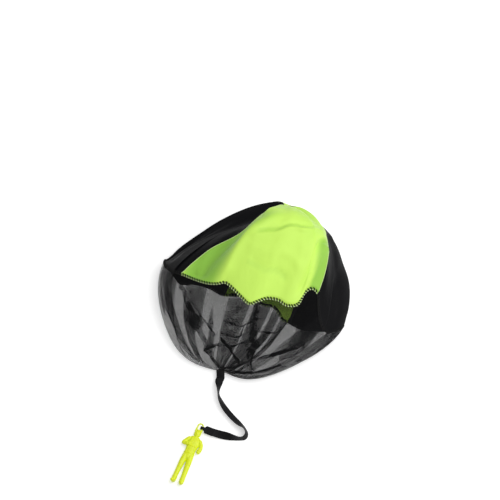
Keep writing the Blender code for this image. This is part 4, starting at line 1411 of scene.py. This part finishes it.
def ribbon_piece():
    """A flat profile with round edges carried along the line; its height swells once every
    rib, as half a wave, its edges stand out a little at each rib, it bends down over the neck
    as a parabola, and it narrows to the loop."""
    line, side, lengths, from_loop = ribbon_line()
    clear = loop_half_length() * 2 + RIBBON_WALL
    width = lerp(RIBBON_LOOP_WIDTH, RIBBON_WIDTH, ramp(from_loop, clear, LOOP_TAPER_LENGTH))
    rib = np.abs(np.sin(lengths * math.pi / RIB_PITCH))
    half = width / 2 * lerp(RIB_NARROW_SHARE, 1, rib)
    wall = RIBBON_WALL / 2 * lerp(*RIB_WALL_SHARES, rib)
    across = np.linspace(-1, 1, RIBBON_PLACES)
    rounded = (1 - across**8) ** 0.5
    top = np.stack([np.multiply.outer(half, across), np.multiply.outer(wall, rounded)], axis=-1)
    low = top[:, -2:0:-1] * (1, -1)
    profile = np.concatenate([top, low], axis=1)
    over_neck = 1 - smooth_step(lengths / (OVER_NECK_SHARE * NECK_LENGTH))
    profile[..., 1] -= over_neck[:, None] * profile[..., 0] ** 2 / (2 * NECK_RADIUS)
    above = unit(np.cross(side, heading_of(line)))
    strap = piece(
        swept("ribbon_strap", line, side, above, profile), grosgrain, None, "ribbon", "ribbon"
    )
    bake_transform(strap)


ribbon_piece()


# Figure


def limb(stations, mirror=1, bands=()):
    """A closed limb as a grid: ellipses carried along a smooth line through the stations, with
    half round ends, and bands round it that stand out by soft steps."""
    shares = np.array(stations, float)
    shares[:, 1] *= mirror
    rings = smooth_line(shares, LIMB_STEP_SHARE)
    heading = heading_of(rings[:, :3])
    place = np.linspace(0, 1, len(rings))
    for middle, half, out in bands:
        band = ramp(half - np.abs(place - middle), -BAND_EDGE_SHARE / 2, BAND_EDGE_SHARE)
        rings[:, 3:] += out * band[:, None]
    turn = np.linspace(*CAP_TURNS, LIMB_CAP_RINGS)[:, None]
    caps = []
    for ring, way in ((rings[0], -heading[0]), (rings[-1], heading[-1])):
        cap = np.repeat(ring[None], LIMB_CAP_RINGS, axis=0)
        cap[:, :3] += way * ring[4] * np.sin(turn)
        cap[:, 3:] *= np.cos(turn)
        caps.append(cap)
    rings = np.concatenate([caps[0][::-1], rings, caps[1]])
    heading = np.pad(heading, ((LIMB_CAP_RINGS, LIMB_CAP_RINGS), (0, 0)), mode="edge")
    flat = np.stack([-heading[:, 1], heading[:, 0], 0 * heading[:, 0]], axis=-1)
    side = unit(flat + [0, LEAST_ACROSS, 0])[:, None]
    above = np.cross(heading, side[:, 0])[:, None]
    oval = rings[:, None, 3:] * circle(LIMB_SIDES)
    grid = rings[:, None, :3] + side * oval[..., :1] + above * oval[..., 1:]
    return grid * BODY_LENGTH + (RING_HEIGHT, RING_ACROSS, 0)


def ring_wire():
    """The moulded ring: a wire from the head round a half circle and back into the head."""
    bend = RING_HOLE_WIDTH / 2 + RING_WIRE_RADIUS
    turn = np.linspace(0, math.pi, RING_STEPS)
    foot = RING_HEIGHT + RING_ROOT_DEPTH
    down = np.linspace(foot, bend + RING_WIRE_RADIUS, RING_LEG_STEPS)[:-1]
    crown = bend + RING_WIRE_RADIUS - bend * np.sin(turn)
    along = np.r_[down, crown, down[::-1]]
    across = np.r_[0 * down - bend, -bend * np.cos(turn), 0 * down + bend] + RING_ACROSS
    path = np.stack([along, across, 0 * along], axis=-1)
    way = heading_of(path)
    side = np.stack([-way[:, 1], way[:, 0], 0 * way[:, 0]], axis=-1)
    profile = circle(RING_SIDES, RING_WIRE_RADIUS)
    return path[:, None] + side[:, None] * profile[:, :1] + UPWARD * profile[:, 1:]


def soft_box(value, low, high, edge):
    """One between low and high, with soft steps of that width to zero outside them."""
    return ramp(value, low - edge, edge) * ramp(-value, -high - edge, edge)


def bell(value, place, size):
    """exp(-d * d) with d the distance from a place in sizes."""
    return np.exp(-(((value - place) / size) ** 2))


def bells(table, down, across):
    """The sum of a table's bells: a height times a bell down the body and one across it."""
    return sum(
        height * bell(down, place, long) * bell(across, off, wide)
        for place, off, long, wide, height in table
    )


def pads(table, down, across):
    """The sum of a table's pads: a height times a soft box down the body and one across it."""
    return sum(
        height * soft_box(down, *down_box) * soft_box(across, *across_box)
        for down_box, across_box, height in table
    )


def moulded_relief(points, normals):
    """How far the plastic stands out at each point: helmet, face, harness, clothes and boots, as
    sums of bells, soft boxes and waves. A point is told by its place down the body in shares,
    across it in mm, and whether it faces the front."""
    down = (points[:, 0] - RING_HEIGHT) / BODY_LENGTH
    across = (points[:, 1] - RING_ACROSS) / MM
    up = normals[:, 2]
    front = smooth_step(up * FRONT_RATE)
    head = ramp(-down, -HEAD_END, HEAD_END_OVER) * (np.abs(across) < HEAD_HALF_WIDTH)
    head = head * (down > HEAD_START)
    torso = soft_box(down, *TORSO_BOX) * (np.abs(across) < BODY_HALF_WIDTH)
    back_of_head = ramp(-up, *HELMET_BACK) * (down < HELMET_BACK_END)
    relief = HELMET_HEIGHT * head * np.maximum(ramp(-down, *HELMET_BROW), back_of_head)
    relief += pads(ROUND_PADS, down, across)
    relief += front * (head * bells(FACE_BELLS, down, across) + pads(FRONT_PADS, down, across))
    for side in (-1, 1):
        lean = STRAP_LEAN * (down - STRAP_START)
        strap = soft_box(across * side - lean, *STRAP_BOX) * soft_box(down, *STRAP_LENGTH_BOX)
        relief += STRAP_HEIGHT * torso * strap
        relief += front * head * bells(EYE_BELLS, down, across * side)
        relief += front * bells(KNEE_BELLS, down, across * side)
        relief += front * pads(POCKET_PADS, down, across * side)
    relief -= ZIP_DEPTH * torso * front * bell(across, 0, ZIP_WIDTH) * soft_box(down, *ZIP_BOX)
    relief += BOOT_HEIGHT * ramp(down, *BOOT_TOP)
    laces = np.exp(-((np.mod(down / LACE_PITCH, 1) - 0.5) ** 2) / LACE_WIDTH_SHARE)
    relief += LACE_HEIGHT * front * laces * soft_box(down, *LACE_BOX)
    for place, size, down_rate, across_rate, depth in CLOTHES_CREASES:
        wave = np.sin(down * down_rate + across * across_rate)
        relief += depth * wave * bell(down, place, size)
    return relief * MM


def as_one_skin(grids):
    """Closed grids made one skin by a fine voxel remesh and smoothed, as a new mesh."""
    points, faces, count = [], [], 0
    for grid in grids:
        mesh = surface("limb", grid, around=True, ends=True)
        points.append(grid.reshape(-1, 3))
        faces += [[index + count for index in face.vertices] for face in mesh.polygons]
        count += len(mesh.vertices)
        bpy.data.meshes.remove(mesh)
    mesh = bpy.data.meshes.new("limbs")
    mesh.from_pydata(np.concatenate(points).tolist(), [], faces)
    draft = bpy.data.objects.new("limbs", mesh)
    bpy.context.scene.collection.objects.link(draft)
    skin = draft.modifiers.new("skin", "REMESH")
    skin.mode = "VOXEL"
    skin.voxel_size = FIGURE_GRAIN
    draft.modifiers.new("smooth", "SMOOTH").iterations = FIGURE_SMOOTHINGS
    graph = bpy.context.evaluated_depsgraph_get()
    made = bpy.data.meshes.new_from_object(draft.evaluated_get(graph))
    bpy.data.objects.remove(draft)
    return made


def figure_piece():
    """The moulding: its limbs and ring as one skin, which is given its relief along the
    normals, put on the ribbon's loop, and kept off the table."""
    grids = [
        limb(TORSO_SHARES),
        limb(NECK_SHARES),
        limb(HEAD_SHARES),
        limb(LEFT_ARM_SHARES, bands=CUFFS),
        limb(RIGHT_ARM_SHARES, bands=CUFFS),
        ring_wire(),
    ]
    for mirror in (-1, 1):
        grids += [limb(LEG_SHARES, mirror), limb(BOOT_SHARES, mirror)]
    made = as_one_skin(grids)
    points, normals = np.zeros((2, len(made.vertices), 3))
    made.vertices.foreach_get("co", points.ravel())
    made.vertex_normals.foreach_get("vector", normals.ravel())
    points = points + normals * moulded_relief(points, normals)[:, None]
    along, across = figure_axes()
    leg_across = RING_ACROSS + RING_HOLE_WIDTH / 2 + RING_WIRE_RADIUS
    points = (
        joint_place("figure_swing")
        + along * (points[:, :1] - LOOP_ALONG)
        + across * (points[:, 1:2] - leg_across)
        + UPWARD * points[:, 2:]
    )
    points[:, 2] = np.maximum(points[:, 2], FIT_GAP / 3)
    made.vertices.foreach_set("co", points.ravel())
    made.update()
    made.shade_smooth()
    made.name = "figure_moulding"
    piece(made, yellow_plastic, "figure", "yellow_plastic", "figure")


figure_piece()


# Table, light and camera


def table():
    """A wide pale table that shows white to the eye, and keeps the shadows: it glows for the
    rays that are seen, and not for those that light the toy."""
    sides = np.array((-TABLE_HALF_WIDTH, TABLE_HALF_WIDTH))
    x, y = np.meshgrid(sides, sides)
    mesh = surface("table", np.stack([x, y, 0 * x - TABLE_GAP], axis=-1))
    look, tree, shader = finish_of("white table", (0.86, 0.86, 0.86), roughness=0.7, specular=0.2)
    seen = node(tree, "ShaderNodeLightPath", {}).outputs
    rays = maths(tree, "ADD", seen["Is Camera Ray"], seen["Is Glossy Ray"])
    rays = maths(tree, "ADD", rays, seen["Is Transmission Ray"])
    strength = maths(tree, "MULTIPLY", maths(tree, "MINIMUM", rays, 1), TABLE_GLOW)
    tree.links.new(strength, shader.inputs["Emission Strength"])
    shader.inputs["Emission Color"].default_value = (1, 1, 1, 1)
    obj = bpy.data.objects.new("table", mesh)
    bpy.context.scene.collection.objects.link(obj)
    mesh.materials.append(look)


def lamp(name, place, size, power):
    """A round soft lamp that faces the middle of the view."""
    data = bpy.data.lights.new(name, "AREA")
    data.shape = "DISK"
    data.size = size
    data.energy = power
    obj = bpy.data.objects.new(name, data)
    obj.location = place
    obj.rotation_euler = (VIEW_CENTRE - Vector(place)).to_track_quat("-Z", "Y").to_euler()
    bpy.context.scene.collection.objects.link(obj)


def studio():
    """White surroundings, one lamp, and a camera far off with a long lens."""
    scene = bpy.context.scene
    scene.view_settings.view_transform = "Standard"
    world = bpy.data.worlds.new("studio")
    world.use_nodes = True
    background = world.node_tree.nodes["Background"]
    background.inputs["Color"].default_value = (1, 1, 1, 1)
    background.inputs["Strength"].default_value = WORLD_STRENGTH
    scene.world = world
    lamp("key", KEY_PLACE, KEY_SIZE, KEY_POWER)
    data = bpy.data.cameras.new("camera")
    data.lens = LENS
    data.sensor_width = SENSOR
    distance = VIEW_WIDTH * LENS / SENSOR
    obj = bpy.data.objects.new("camera", data)
    obj.location = VIEW_CENTRE + distance * Vector((0, -math.cos(VIEW_RISE), math.sin(VIEW_RISE)))
    obj.rotation_euler = (math.pi / 2 - VIEW_RISE, 0, 0)
    scene.collection.objects.link(obj)
    scene.camera = obj


table()
studio()
